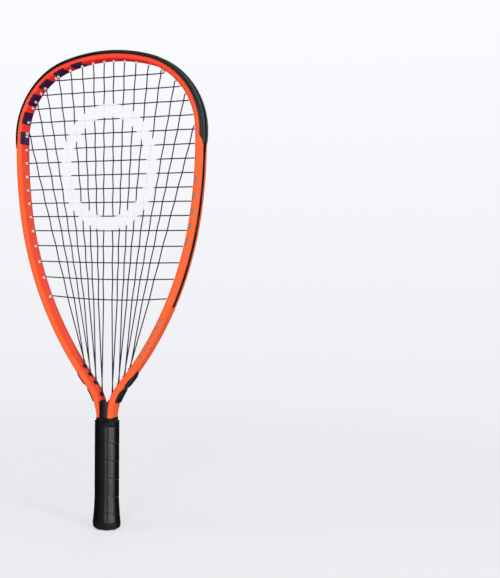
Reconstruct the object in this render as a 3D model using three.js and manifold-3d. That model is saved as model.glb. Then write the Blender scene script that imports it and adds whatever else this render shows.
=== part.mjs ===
// Racquetball racket: a hairpin hoop with its woven string bed, its guards and its wrapped handle.
// Sizes are in millimetres. +Z runs from the butt to the crown, X across the head and Y through it.
// The front is at -Y, and the origin is the middle of the flat butt end.

import * as THREE from 'three';
import { mergeVertices } from 'three/addons/utils/BufferGeometryUtils.js';
import Module from 'manifold-3d';

const wasm = await Module();
wasm.setup();

// Whole racket
const overallLength = 558.8;
const seatGap = 0.3;
const cutOverrun = 2;

// Hoop tube
const tubeWidth = 8.4;
const beamDepth = 21;
const tubeCornerRadius = 3;
const grooveWidth = 8;

// Hoop centre line, from the crown down: turns in degrees, and radii as shares of the hoop's height
const legOffset = 5.7;
const legStraightRise = 1.1;
const shoulderTurn = 71.6;
const sideTurn = 10;
const lowerTurn = 31;
const throatTurn = 39.3;
const shoulderRadiusShare = 0.2018;
const sideRadiusShare = 1.3;
const lowerRadiusShare = 0.9515;
const throatRadiusShare = 0.1623;
const facetTurn = 6;
const facetLength = 30;

// String bed
const stringDiameter = 1.3;
const stringSides = 4;
const mainsPerSide = 8;
const topCrossDrop = 25.6;
const crossPitch = 15.95;
const lowestCrossRise = 140.7;
const lowPitchShares = [1.1, 1.18, 1.14, 1.24, 1.6];
const lowestCrossSag = 3;
const sagPower = 8;
const innerMainShares = [0.073, 0.244, 0.42, 0.615, 0.828];
const outerMainSeats = [
  { cross: 0, seatShare: 0.354 },
  { cross: 1, seatShare: 0.313 },
  { cross: 3, seatShare: 0.72 },
];
const shortRun = 4;
const loopSpreadShare = 0.533;
const loopEndShare = 0.2;
const loopStep = 11;
const knotDiameter = 2.1;
const knotLength = 2.6;
const knotRun = 4.2;
const knotRoom = 0.2;
const sharedHoleGap = 0.5;

// Grommets
const grommetWall = 0.5;
const grommetSides = 5;
const guardHoleSides = 4;
const stripThickness = 0.7;
const barrelRootShare = 0.3;
const noseReach = 1.8;
const throatHoleRise = 32.4;
const lowestThroatPitch = 14.4;
const throatPitch = 11.8;

// Head bumper and side guards
const bumperThickness = 2;
const bumperEdgeThickness = 0.8;
const bumperWrapTurn = 50;
const guardFloor = 0.8;
const guardRib = 0.7;
const bumperShare = 0.4;
const wingStartRise = 6.6;
const wingTipRise = 17.6;
const wingCurveSteps = 5;
const guardOverrun = 1;

// Throat covers
const coverThickness = 1.7;
const neckThickness = 1;
const lobeHalfWidth = 7.2;
const lobeCornerRadius = 3.2;
const neckHalfWidth = 2.8;
const coverOverlap = 1;
const lowerLobeEndShare = 0.62;
const upperLobeStartShare = 0.9;

// Throat insert
const insertDrop = 8;
const insertHalfWidth = 4.6;
const insertProud = 1.1;
const insertTongueDepth = 12;

// Handle
const handleTopLevel = 126.6;
const palletWall = 1.4;
const legEndRise = 15;
const capSkirtTop = 34;
const capSkirtWall = 0.8;
const palletSeam = 0.3;
const collarHeight = 6.2;
const collarRingHeight = 2.8;
const collarLipWall = 1.6;
const collarProud = 0.3;
const tapeHeight = 4.4;

// Grip wrap
const gripHalf = 13.4;
const wrapThickness = 1.7;
const wrapPitch = 20;
const wrapSeam = 0.6;
const wrapBevel = 0.6;
const wrapSeatGap = 0.3;
const cornerSpread = 7;
const flareTopLevel = 40;
const flareGrowth = 2.3;
const flarePower = 1.7;

// Butt cap
const capFloor = 5;
const capLipLevel = 9;
const capEdgeShares = [
  { level: 0, half: 0.8 },
  { level: 0.12, half: 0.9 },
  { level: 0.35, half: 0.975 },
  { level: 0.62, half: 1 },
  { level: 1, half: 1 },
];
const skirtRings = 5;
const wristCordHole = 9;
const wristCordHoleSides = 16;

// Values that follow from the sizes above
const tubeHalf = tubeWidth / 2;
const beamHalf = beamDepth / 2;
const stringRadius = stringDiameter / 2;
const weaveOffset = stringRadius + seatGap / 2;
const grooveFloor = tubeHalf - knotRoom - knotDiameter - stripThickness - 2 * seatGap;
const stripBottom = grooveFloor + seatGap;
const stripTop = stripBottom + stripThickness;
const guardBottom = stripTop + seatGap;
const channelFloor = guardBottom + guardFloor;
const channelHalf = grooveWidth / 2 - seatGap - guardRib;
const headStringOut = channelFloor + seatGap + stringRadius;
const throatStringOut = stripTop + seatGap + stringRadius;
const noseEnd = -(tubeHalf + noseReach);
const mouthOut = noseEnd - seatGap - stringRadius;
const loopSpread = channelHalf * loopSpreadShare;
const boreRadius = stringRadius + seatGap;
const barrelRadius = boreRadius + grommetWall;
const sharedSpread = stringRadius + sharedHoleGap / 2;
const sharedBoreRadius = sharedSpread + boreRadius;
const sharedBarrelRadius = sharedBoreRadius + grommetWall;
const crownLevel = overallLength - bumperThickness - seatGap - tubeHalf;
const lowestCrossLevel = handleTopLevel + lowestCrossRise;
const bumperTailLevel = THREE.MathUtils.lerp(crownLevel, lowestCrossLevel, bumperShare);
const insertTopLevel = handleTopLevel + throatHoleRise - insertDrop;
const throatMargin = knotRun + seatGap;
const guardMargin = throatMargin + guardOverrun;
const throatSpan = lowestThroatPitch + throatPitch * (mainsPerSide / 2 - 2);
const coverMargin = throatMargin + coverOverlap;
const lowerLobe = { from: -coverMargin, to: lowestThroatPitch * lowerLobeEndShare };
const upperLobe = { from: lowestThroatPitch * upperLobeStartShare, to: throatSpan + coverMargin };
const palletHalf = gripHalf - wrapThickness - wrapSeatGap;
const flareHalf = gripHalf + flareGrowth;
const palletBottom = capFloor + seatGap;
const legEndLevel = palletBottom + legEndRise;
const shaftFoot = handleTopLevel + seatGap;
const rebateHalf = palletHalf - seatGap - capSkirtWall;
const tenonHalf = rebateHalf - palletWall - seatGap;
const wrapBottom = capLipLevel + seatGap;
const wrapTop = handleTopLevel - tapeHeight - seatGap;

// Materials
const orangeLacquer = new THREE.MeshStandardMaterial({ color: 0xff5a37, roughness: 0.32, metalness: 0 });
const blackNylon = new THREE.MeshStandardMaterial({ color: 0x232123, roughness: 0.5, metalness: 0 });
const whiteNylon = new THREE.MeshStandardMaterial({ color: 0xe9e6df, roughness: 0.5, metalness: 0 });
const greyString = new THREE.MeshStandardMaterial({ color: 0x4a4a4d, roughness: 0.45, metalness: 0 });
const palletFoam = new THREE.MeshStandardMaterial({ color: 0x3c3b3a, roughness: 0.85, metalness: 0 });
const wrapFoam = new THREE.MeshStandardMaterial({ color: 0x1d1c1d, roughness: 0.7, metalness: 0 });
const blackTape = new THREE.MeshStandardMaterial({ color: 0x151515, roughness: 0.4, metalness: 0 });
const blackRubber = new THREE.MeshStandardMaterial({ color: 0x1b1a1b, roughness: 0.6, metalness: 0 });

// Six times the volume that an indexed triangle mesh encloses, below zero if its faces point in
function signedVolume(positions, indices) {
  const [a, b, c] = [new THREE.Vector3(), new THREE.Vector3(), new THREE.Vector3()];
  let total = 0;
  for (let i = 0; i < indices.length; i += 3) {
    a.fromArray(positions, indices[i] * 3);
    b.fromArray(positions, indices[i + 1] * 3);
    c.fromArray(positions, indices[i + 2] * 3);
    total += a.dot(b.cross(c));
  }
  return total;
}

// A closed geometry with shared vertices and faces that point out
function closedGeometry(source) {
  const bare = source.clone();
  bare.deleteAttribute('normal');
  bare.deleteAttribute('uv');
  const merged = mergeVertices(bare);
  const indices = Array.from(merged.index.array);
  if (signedVolume(merged.attributes.position.array, indices) < 0) {
    merged.setIndex(indices.reverse());
  }
  return merged;
}

function solidOf(source) {
  const geometry = closedGeometry(source);
  const mesh = new wasm.Mesh({
    numProp: 3,
    vertProperties: new Float32Array(geometry.attributes.position.array),
    triVerts: new Uint32Array(geometry.index.array),
  });
  return new wasm.Manifold(mesh);
}

function geometryOf(solid) {
  const mesh = solid.getMesh();
  const geometry = new THREE.BufferGeometry();
  geometry.setAttribute('position', new THREE.BufferAttribute(new Float32Array(mesh.vertProperties), 3));
  geometry.setIndex(Array.from(mesh.triVerts));
  return geometry;
}

function joinAll(solids) {
  return solids.reduce((whole, piece) => whole.add(piece));
}

function cutAll(solid, cutters) {
  return cutters.length ? solid.subtract(joinAll(cutters)) : solid;
}

function inOrder(first, second) {
  return [Math.min(first, second), Math.max(first, second)];
}

// The right half of the centre line: tangent arcs, then the straight leg down to its end. The crown's
// radius and the size of the other arcs are those that bring the line down to the straight leg.
function layHalfLine() {
  const radians = THREE.MathUtils.degToRad;
  const crownTurn = 90 + throatTurn - lowerTurn - sideTurn - shoulderTurn;
  const bends = [
    { share: shoulderRadiusShare, turn: radians(shoulderTurn) },
    { share: sideRadiusShare, turn: radians(sideTurn) },
    { share: lowerRadiusShare, turn: radians(lowerTurn) },
    { share: -throatRadiusShare, turn: radians(-throatTurn) },
  ];
  let heading = radians(crownTurn);
  const [crownAcross, crownDown] = [Math.sin(heading), 1 - Math.cos(heading)];
  let [across, down] = [0, 0];
  for (const { share, turn } of bends) {
    const next = heading + turn;
    across += share * (Math.sin(next) - Math.sin(heading));
    down += share * (Math.cos(heading) - Math.cos(next));
    heading = next;
  }
  const height = crownLevel - handleTopLevel - legStraightRise;
  const fit = (height * crownAcross - legOffset * crownDown) / (crownAcross * down - crownDown * across);
  const crownRadius = (legOffset - fit * across) / crownAcross;
  const arcs = bends.map(({ share, turn }) => ({ radius: share * fit, turn }));
  const pieces = [];
  let place = { reach: 0, x: 0, z: crownLevel, heading: 0 };
  for (const { radius, turn } of [{ radius: crownRadius, turn: radians(crownTurn) }, ...arcs]) {
    const length = radius * turn;
    pieces.push({ ...place, radius, turn, length });
    const next = place.heading + turn;
    place = {
      reach: place.reach + length,
      x: place.x + radius * (Math.sin(next) - Math.sin(place.heading)),
      z: place.z + radius * (Math.cos(next) - Math.cos(place.heading)),
      heading: next,
    };
  }
  pieces.push({ ...place, radius: Infinity, turn: 0, length: place.z - legEndLevel });
  return pieces;
}

const halfLine = layHalfLine();
const lastPiece = halfLine[halfLine.length - 1];
const legReach = lastPiece.reach + lastPiece.length;

// The place on the centre line at a signed distance from the crown, with its outward direction
function hoopAt(reach) {
  const side = reach < 0 ? -1 : 1;
  const distance = Math.abs(reach);
  const piece = halfLine.find((item) => distance <= item.reach + item.length) ?? lastPiece;
  const along = distance - piece.reach;
  if (piece === lastPiece) {
    return { x: side * piece.x, z: piece.z - along, outX: side, outZ: 0 };
  }
  const heading = piece.heading + along / piece.radius;
  return {
    x: side * (piece.x + piece.radius * (Math.sin(heading) - Math.sin(piece.heading))),
    z: piece.z + piece.radius * (Math.cos(heading) - Math.cos(piece.heading)),
    outX: side * Math.sin(heading),
    outZ: Math.cos(heading),
  };
}

// A point beside the centre line: out from it, and through the beam
function hoopPoint(reach, out, beam = 0) {
  const spot = hoopAt(reach);
  return new THREE.Vector3(spot.x + spot.outX * out, beam, spot.z + spot.outZ * out);
}

// The place between two distances where a rising function of the distance passes zero
function solveReach(low, high, rising) {
  const rounds = 50;
  for (let i = 0; i < rounds; i += 1) {
    const middle = (low + high) / 2;
    if (rising(middle) > 0) {
      high = middle;
    } else {
      low = middle;
    }
  }
  return (low + high) / 2;
}

function reachAtLevel(level, out = 0) {
  return solveReach(0, legReach, (reach) => level - hoopPoint(reach, out).z);
}

// Distances at which the swept pieces have a ring, so that neighbours share the same facets
function layRings() {
  const half = [0];
  for (const piece of halfLine) {
    const turn = Math.abs(THREE.MathUtils.radToDeg(piece.turn));
    const straight = piece === lastPiece;
    const steps = straight ? 1 : Math.ceil(Math.max(turn / facetTurn, piece.length / facetLength));
    for (let i = 1; i <= steps; i += 1) {
      half.push(piece.reach + (piece.length * i) / steps);
    }
  }
  return [...half.slice(1).reverse().map((reach) => -reach), ...half];
}

const ringReaches = layRings();

// A stretch of the centre line for a sweep, run clockwise, with its rings at the shared facets
class HoopPath extends THREE.Curve {
  constructor(from, to) {
    super();
    this.stops = [from, ...ringReaches.filter((reach) => reach > from && reach < to), to];
  }

  getUtoTmapping(u) {
    return u;
  }

  spotAt(t) {
    const place = t * (this.stops.length - 1);
    const index = Math.min(Math.floor(place), this.stops.length - 2);
    return hoopAt(THREE.MathUtils.lerp(this.stops[index], this.stops[index + 1], place - index));
  }

  getPoint(t, target = new THREE.Vector3()) {
    const spot = this.spotAt(t);
    return target.set(spot.x, 0, spot.z);
  }

  getTangent(t, target = new THREE.Vector3()) {
    const spot = this.spotAt(t);
    return target.set(spot.outZ, 0, -spot.outX);
  }
}

// A section given by points of beam and out distances, swept along the hoop
function sweepPoints(points, from, to) {
  const shape = new THREE.Shape(points.map(([beam, out]) => new THREE.Vector2(beam, -out)));
  return sweepShape(shape, from, to);
}

function sweepShape(shape, from, to) {
  const path = new HoopPath(from, to);
  const geometry = new THREE.ExtrudeGeometry(shape, {
    steps: path.stops.length - 1,
    extrudePath: path,
    curveSegments: 1,
  });
  return solidOf(geometry);
}

function sweepBand(halfBeam, outFrom, outTo, from, to) {
  const points = [
    [-halfBeam, outFrom],
    [halfBeam, outFrom],
    [halfBeam, outTo],
    [-halfBeam, outTo],
  ];
  return sweepPoints(points, from, to);
}

function roundedShape(halfWidth, halfHeight, radius, x = 0, y = 0) {
  const shape = new THREE.Shape();
  const quarter = Math.PI / 2;
  const [right, top] = [halfWidth - radius, halfHeight - radius];
  shape.absarc(x + right, y + top, radius, 0, quarter);
  shape.absarc(x - right, y + top, radius, quarter, 2 * quarter);
  shape.absarc(x - right, y - top, radius, 2 * quarter, 3 * quarter);
  shape.absarc(x + right, y - top, radius, 3 * quarter, 4 * quarter);
  return shape;
}

// The hoop tube grown by a clearance on every side
function hoopTube(grown, from, to) {
  const shape = roundedShape(beamHalf + grown, tubeHalf + grown, tubeCornerRadius + grown);
  return sweepShape(shape, from, to);
}

// Places a geometry drawn with x through the beam, y out and z along the hoop
function placeOnHoop(geometry, reach) {
  const spot = hoopAt(reach);
  const beam = new THREE.Vector3(0, 1, 0);
  const out = new THREE.Vector3(spot.outX, 0, spot.outZ);
  const along = new THREE.Vector3(spot.outZ, 0, -spot.outX);
  const matrix = new THREE.Matrix4().makeBasis(beam, out, along);
  matrix.setPosition(spot.x, 0, spot.z);
  return geometry.applyMatrix4(matrix);
}

// A straight post across the hoop, its flats at the given radius
function postOnHoop(reach, radius, outFrom, outTo, sides = grommetSides) {
  const corner = radius / Math.cos(Math.PI / sides);
  const post = new THREE.CylinderGeometry(corner, corner, outTo - outFrom, sides);
  post.translate(0, (outFrom + outTo) / 2, 0);
  return solidOf(placeOnHoop(post, reach));
}

// A prism between two levels from an outline seen from above
function prism(shape, bottom, top) {
  const geometry = new THREE.ExtrudeGeometry(shape, {
    depth: top - bottom,
    bevelEnabled: false,
    curveSegments: 1,
  });
  geometry.translate(0, 0, bottom);
  return solidOf(geometry);
}

// The handle's octagon: a flat towards each axis, at the given half width, with a narrow bevel
// on each corner, so that it has two points at each of its eight corners
function octagonRing(half) {
  const points = [];
  const spread = THREE.MathUtils.degToRad(cornerSpread) / 2;
  for (let corner = 0; corner < 8; corner += 1) {
    const middle = ((corner + 0.5) * Math.PI) / 4;
    for (const angle of [middle - spread, middle + spread]) {
      points.push({ angle, radius: half / Math.cos(Math.PI / 8 - spread) });
    }
  }
  return points;
}

function octagonShape(half) {
  const points = octagonRing(half);
  return new THREE.Shape(points.map(({ angle, radius }) => {
    return new THREE.Vector2(radius * Math.cos(angle), radius * Math.sin(angle));
  }));
}

// A closed skin over rings of equal counts of points, with both ends capped
function loftRings(rings) {
  const count = rings[0].length;
  const positions = rings.flat().flatMap((point) => [point.x, point.y, point.z]);
  const indices = [];
  for (let ring = 0; ring + 1 < rings.length; ring += 1) {
    for (let i = 0; i < count; i += 1) {
      const next = (i + 1) % count;
      const [a, b] = [ring * count + i, ring * count + next];
      const [c, d] = [a + count, b + count];
      indices.push(a, b, d, a, d, c);
    }
  }
  const last = (rings.length - 1) * count;
  for (let i = 1; i + 1 < count; i += 1) {
    indices.push(0, i + 1, i, last, last + i, last + i + 1);
  }
  const geometry = new THREE.BufferGeometry();
  geometry.setAttribute('position', new THREE.Float32BufferAttribute(positions, 3));
  geometry.setIndex(indices);
  return closedGeometry(geometry);
}

function octagonLoft(profile) {
  return loftRings(profile.map(({ level, half }) => octagonRing(half).map(({ angle, radius }) => {
    return new THREE.Vector3(radius * Math.cos(angle), radius * Math.sin(angle), level);
  })));
}

// Levels of the crosses at the frame, from the crown down: an even pitch, then wider ones
function layCrosses() {
  const bedHeight = crownLevel - topCrossDrop - lowestCrossLevel;
  const lowPitches = lowPitchShares.reduce((total, share) => total + share);
  const evenPitches = Math.round(bedHeight / crossPitch - lowPitches);
  const pitch = bedHeight / (evenPitches + lowPitches);
  const drops = [...Array(evenPitches).fill(pitch), ...lowPitchShares.map((share) => share * pitch)];
  const levels = [crownLevel - topCrossDrop];
  drops.forEach((drop) => levels.push(levels[levels.length - 1] - drop));
  return levels.map((level, k) => {
    const sag = lowestCrossSag * ((k + 1) / levels.length) ** sagPower;
    return { level, sag, reach: reachAtLevel(level + sag, -tubeHalf) };
  });
}

const crosses = layCrosses();
const lowestCross = crosses[crosses.length - 1];

// Head holes of the mains on the right, from the middle out
const mainReaches = [
  ...innerMainShares.map((share) => share * crosses[0].reach),
  ...outerMainSeats.map(({ cross, seatShare }) => {
    return THREE.MathUtils.lerp(crosses[cross].reach, crosses[cross + 1].reach, seatShare);
  }),
];

// Throat holes on the right, from the lowest up, two mains to a hole
function layThroatHoles() {
  const lowest = reachAtLevel(handleTopLevel + throatHoleRise, noseEnd);
  const holes = [lowest];
  for (let i = 1; i < mainsPerSide / 2; i += 1) {
    holes.push(lowest - lowestThroatPitch - throatPitch * (i - 1));
  }
  return holes;
}

const throatReaches = layThroatHoles();
const bumperTailReach = reachAtLevel(bumperTailLevel, grooveFloor);
const guardEndReach = lowestCross.reach + guardMargin;

// Which strings cross, and how each main runs from its throat hole to its head hole
function layMains() {
  return mainReaches.map((headReach, index) => {
    const throatReach = throatReaches[Math.floor(index / 2)];
    const low = hoopPoint(throatReach, mouthOut);
    const high = hoopPoint(headReach, mouthOut);
    const slope = (high.x - low.x) / (high.z - low.z);
    return { index, headReach, throatReach, low, high, xAt: (z) => low.x + slope * (z - low.z) };
  });
}

const mains = layMains();

// The height of a cross over the racket's middle plane line, sagging towards the middle
function crossLevelAt(cross, x) {
  const mouth = hoopPoint(cross.reach, mouthOut);
  return mouth.z - cross.sag * (1 - (x / mouth.x) ** 2);
}

// Every crossing on the right: its place and how far each string steps off the middle plane
function layCrossings() {
  const list = [];
  crosses.forEach((cross, k) => {
    const mouth = hoopPoint(cross.reach, mouthOut);
    for (const main of mains) {
      const x = main.xAt(mouth.z);
      const z = crossLevelAt(cross, x);
      const crossed = z < main.high.z - boreRadius && x < mouth.x - seatGap;
      if (crossed) {
        const sign = (k + main.index) % 2 ? -1 : 1;
        const nearWall = mouth.x - x < shortRun;
        const [mainStep, crossStep] = nearWall ? [2 * weaveOffset, 0] : [weaveOffset, weaveOffset];
        list.push({
          k,
          main: main.index,
          x: main.xAt(z),
          z,
          mainBeam: sign * mainStep,
          crossBeam: -sign * crossStep,
        });
      }
    }
  });
  return list;
}

const crossings = layCrossings();

// A string as one unbroken tube: a ring at each point of its path, mitred at the bends
function stringTube(path) {
  const rings = [];
  let heading = path[1].at.clone().sub(path[0].at).normalize();
  let spokes = [];
  const first = new THREE.Vector3(0, 1, 0).cross(heading).normalize();
  for (let i = 0; i < stringSides; i += 1) {
    const angle = ((i + 0.5) * 2 * Math.PI) / stringSides;
    spokes.push(first.clone().applyAxisAngle(heading, angle));
  }
  path.forEach(({ at, radius }, index) => {
    const onward = index + 1 < path.length ? path[index + 1].at.clone().sub(at).normalize() : heading;
    const mitre = heading.clone().add(onward).normalize();
    const lean = heading.dot(mitre);
    rings.push(spokes.map((spoke) => {
      return spoke.clone().addScaledVector(heading, -spoke.dot(mitre) / lean).multiplyScalar(radius).add(at);
    }));
    const turn = new THREE.Quaternion().setFromUnitVectors(heading, onward);
    spokes = spokes.map((spoke) => spoke.applyQuaternion(turn));
    heading = onward;
  });
  return loftRings(rings);
}

// The least clear distance of a string from itself, sampled along its path
function leastSelfGap(path) {
  const stepLength = stringDiameter;
  const apart = 3 * stringDiameter;
  const samples = [];
  let travelled = 0;
  for (let i = 0; i + 1 < path.length; i += 1) {
    const [from, to] = [path[i].at, path[i + 1].at];
    const length = from.distanceTo(to);
    const steps = Math.ceil(length / stepLength);
    for (let n = 0; n < steps; n += 1) {
      samples.push({ at: from.clone().lerp(to, n / steps), travelled: travelled + (length * n) / steps });
    }
    travelled += length;
  }
  let least = Infinity;
  for (let i = 0; i < samples.length; i += 1) {
    for (let j = i + 1; j < samples.length; j += 1) {
      if (samples[j].travelled - samples[i].travelled > apart) {
        least = Math.min(least, samples[i].at.distanceTo(samples[j].at));
      }
    }
  }
  return least - stringDiameter;
}

function pathPoint(at, radius = stringRadius) {
  return { at, radius };
}

// The path around the outside of the hoop from one hole to the next
function channelLoop(from, to, out, spreadFrom, spreadTo) {
  const steps = Math.ceil((Math.abs(to - from) * (1 - 2 * loopEndShare)) / loopStep);
  const loop = [];
  for (let i = 0; i <= steps; i += 1) {
    const share = THREE.MathUtils.lerp(loopEndShare, 1 - loopEndShare, i / steps);
    const spread = THREE.MathUtils.lerp(spreadFrom, spreadTo, i / steps);
    loop.push(pathPoint(hoopPoint(THREE.MathUtils.lerp(from, to, share), out, spread)));
  }
  return loop;
}

// A string's end in the channel: it turns aside and swells into its knot
function knotEnd(reach, out, beam, direction) {
  const knotRadius = knotDiameter / 2;
  const lift = out + knotRadius - stringRadius;
  const shoulder = (knotRun - knotLength) / 2;
  return [
    pathPoint(hoopPoint(reach + direction * knotRun, lift, beam), stringRadius),
    pathPoint(hoopPoint(reach + direction * (knotRun - shoulder / 2), lift, beam), knotRadius),
    pathPoint(hoopPoint(reach + direction * (knotRun - knotLength), lift, beam), knotRadius),
    pathPoint(hoopPoint(reach + direction * (knotRun - knotLength - shoulder / 2), lift, beam), stringRadius),
  ];
}

// One half of the mains: down and up through the bed, two to a throat hole
function mainStringPath(side) {
  const path = [];
  for (const main of mains) {
    const rising = main.index % 2 === 0;
    const beam = side * (rising ? -sharedSpread : sharedSpread);
    const [low, high] = [side * main.throatReach, side * main.headReach];
    const run = [
      pathPoint(hoopPoint(low, throatStringOut, beam)),
      pathPoint(hoopPoint(low, mouthOut, beam)),
      ...crossings.filter((item) => item.main === main.index).sort((a, b) => a.z - b.z).map((item) => {
        return pathPoint(new THREE.Vector3(side * item.x, side * item.mainBeam, item.z));
      }),
      pathPoint(hoopPoint(high, mouthOut)),
      pathPoint(hoopPoint(high, headStringOut)),
    ];
    path.push(...(rising ? run : run.reverse()));
    const next = mains[main.index + 1];
    if (next && rising) {
      path.push(...channelLoop(high, side * next.headReach, headStringOut, -loopSpread, -loopSpread));
    } else if (next) {
      path.push(...channelLoop(low, side * next.throatReach, throatStringOut, beam, -beam));
    }
  }
  const [lowest, highest] = [side * throatReaches[0], side * throatReaches[throatReaches.length - 1]];
  const start = knotEnd(lowest, throatStringOut, side * -sharedSpread, side);
  const end = knotEnd(highest, throatStringOut, side * sharedSpread, -side).reverse();
  return [...start, ...path, ...end];
}

// The crosses: from side to side, down the bed
function crossStringPath() {
  const path = [];
  crosses.forEach((cross, k) => {
    const side = k % 2 ? -1 : 1;
    const here = crossings.filter((item) => item.k === k && item.crossBeam !== 0);
    const right = here.map((item) => new THREE.Vector3(item.x, item.crossBeam, item.z));
    right.sort((a, b) => a.x - b.x);
    const left = right.map((point) => new THREE.Vector3(-point.x, -point.y, point.z)).reverse();
    const run = [
      hoopPoint(-cross.reach, headStringOut),
      hoopPoint(-cross.reach, mouthOut),
      ...left,
      ...right,
      hoopPoint(cross.reach, mouthOut),
      hoopPoint(cross.reach, headStringOut),
    ].map((at) => pathPoint(at));
    path.push(...(side > 0 ? run : run.reverse()));
    const next = crosses[k + 1];
    if (next) {
      path.push(...channelLoop(side * cross.reach, side * next.reach, headStringOut, loopSpread, loopSpread));
    }
  });
  const endSide = crosses.length % 2 ? 1 : -1;
  const start = knotEnd(-crosses[0].reach, headStringOut, loopSpread, 1);
  const end = knotEnd(endSide * lowestCross.reach, headStringOut, loopSpread, endSide).reverse();
  return [...start, ...path, ...end];
}

// Signed distances of the holes that one grommet strip fills
const bothSides = (reaches) => reaches.flatMap((reach) => [-reach, reach]);
const headHoles = bothSides([...mainReaches, ...crosses.map((cross) => cross.reach)]);

function holesBetween(from, to) {
  return headHoles.filter((reach) => reach > from && reach < to);
}

function makeFrame() {
  const tube = hoopTube(0, -legReach, legReach);
  const grooveOut = tubeHalf + cutOverrun;
  const grooves = [sweepBand(grooveWidth / 2, grooveFloor, grooveOut, -guardEndReach, guardEndReach)];
  for (const side of [-1, 1]) {
    const [from, to] = throatStretch(side, throatMargin);
    grooves.push(sweepBand(grooveWidth / 2, grooveFloor, grooveOut, from, to));
  }
  const drill = (reach, radius) => postOnHoop(reach, radius + seatGap, -tubeHalf - cutOverrun, tubeHalf);
  const holes = [
    ...headHoles.map((reach) => drill(reach, barrelRadius)),
    ...bothSides(throatReaches).map((reach) => drill(reach, sharedBarrelRadius)),
  ];
  const room = roundedShape(beamDepth, beamDepth, tubeCornerRadius);
  const around = prism(room, legEndLevel - cutOverrun, shaftFoot);
  const tenon = prism(octagonShape(tenonHalf), legEndLevel - 2 * cutOverrun, shaftFoot + cutOverrun);
  return cutAll(tube, [...grooves, ...holes, around.subtract(tenon)]);
}

// The stretch of one leg that holds its throat holes, in running order
function throatStretch(side, margin) {
  const [lowest, highest] = [throatReaches[0], throatReaches[throatReaches.length - 1]];
  return inOrder(side * (lowest + margin), side * (highest - margin));
}

// A strip on the groove's floor with a barrel through each of its holes
function grommetStrip(from, to, holes, outerRadius, innerRadius) {
  const base = sweepBand(grooveWidth / 2 - seatGap, stripBottom, stripTop, from, to);
  const rootOut = THREE.MathUtils.lerp(stripBottom, stripTop, barrelRootShare);
  const barrels = holes.map((reach) => postOnHoop(reach, outerRadius, noseEnd, rootOut));
  const [boreFrom, boreTo] = [noseEnd - cutOverrun, stripTop + cutOverrun];
  const bores = holes.map((reach) => postOnHoop(reach, innerRadius, boreFrom, boreTo));
  return cutAll(joinAll([base, ...barrels]), bores);
}

function makeHeadStrip() {
  const end = bumperTailReach - seatGap / 2;
  return grommetStrip(-end, end, holesBetween(-end, end), barrelRadius, boreRadius);
}

function makeSideStrip(side) {
  const [from, to] = inOrder(side * (bumperTailReach + seatGap / 2), side * (guardEndReach - seatGap));
  return grommetStrip(from, to, holesBetween(from, to), barrelRadius, boreRadius);
}

function makeThroatGrommet(side) {
  const [from, to] = throatStretch(side, throatMargin - seatGap);
  const holes = throatReaches.map((reach) => side * reach);
  return grommetStrip(from, to, holes, sharedBarrelRadius, sharedBoreRadius);
}

// Half of the bumper's section, from the middle of the channel round the wing to the underside
function bumperHalfSection() {
  const under = tubeHalf + seatGap;
  const face = under + bumperThickness;
  const corner = { beam: beamHalf - tubeCornerRadius, out: tubeHalf - tubeCornerRadius };
  const innerRadius = tubeCornerRadius + seatGap;
  const arcPoint = (share, thick) => {
    const angle = THREE.MathUtils.degToRad(bumperWrapTurn * share);
    const radius = innerRadius + thick;
    return [corner.beam + radius * Math.sin(angle), corner.out + radius * Math.cos(angle)];
  };
  const halfwayThickness = (bumperThickness + bumperEdgeThickness) / 2;
  const ribOuter = grooveWidth / 2 - seatGap;
  return [
    [channelHalf, channelFloor],
    [channelHalf, face],
    arcPoint(0, bumperThickness),
    arcPoint(0.5, halfwayThickness),
    arcPoint(1, bumperEdgeThickness),
    arcPoint(1, 0),
    arcPoint(0.5, 0),
    arcPoint(0, 0),
    [ribOuter, under],
    [ribOuter, guardBottom],
  ];
}

function mirrored(halfSection) {
  return [...halfSection, ...halfSection.map(([beam, out]) => [-beam, out]).reverse()];
}

// What is cut from a wing's end, front or back, so that it draws in towards the channel in a sweep
function wingTrim(face) {
  const inner = grooveWidth / 2 - seatGap;
  const outer = beamHalf + bumperThickness + cutOverrun;
  const [startLevel, tipLevel] = [bumperTailLevel + wingStartRise, bumperTailLevel + wingTipRise];
  const shape = new THREE.Shape();
  shape.moveTo(inner, bumperTailLevel - cutOverrun);
  shape.lineTo(outer, bumperTailLevel - cutOverrun);
  shape.lineTo(outer, tipLevel);
  shape.lineTo(beamHalf, tipLevel);
  for (let i = 1; i <= wingCurveSteps; i += 1) {
    const share = i / wingCurveSteps;
    const level = THREE.MathUtils.lerp(tipLevel, startLevel, Math.sin((share * Math.PI) / 2));
    shape.lineTo(THREE.MathUtils.lerp(beamHalf, inner, share ** 2), level);
  }
  const geometry = new THREE.ExtrudeGeometry(shape, { depth: overallLength, bevelEnabled: false });
  geometry.translate(0, 0, -overallLength / 2);
  const across = new THREE.Vector3(0, face, 0);
  const up = new THREE.Vector3(0, 0, 1);
  const sideways = new THREE.Vector3(face, 0, 0);
  geometry.applyMatrix4(new THREE.Matrix4().makeBasis(across, up, sideways));
  return solidOf(geometry);
}

function makeBumper() {
  const end = bumperTailReach - seatGap / 2;
  const sweep = sweepPoints(mirrored(bumperHalfSection()), -end, end);
  const holes = holesBetween(-end, end).map((reach) => guardHole(reach));
  return cutAll(sweep, [wingTrim(1), wingTrim(-1), ...holes]);
}

function guardHole(reach) {
  return postOnHoop(reach, boreRadius, noseEnd, headStringOut, guardHoleSides);
}

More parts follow.
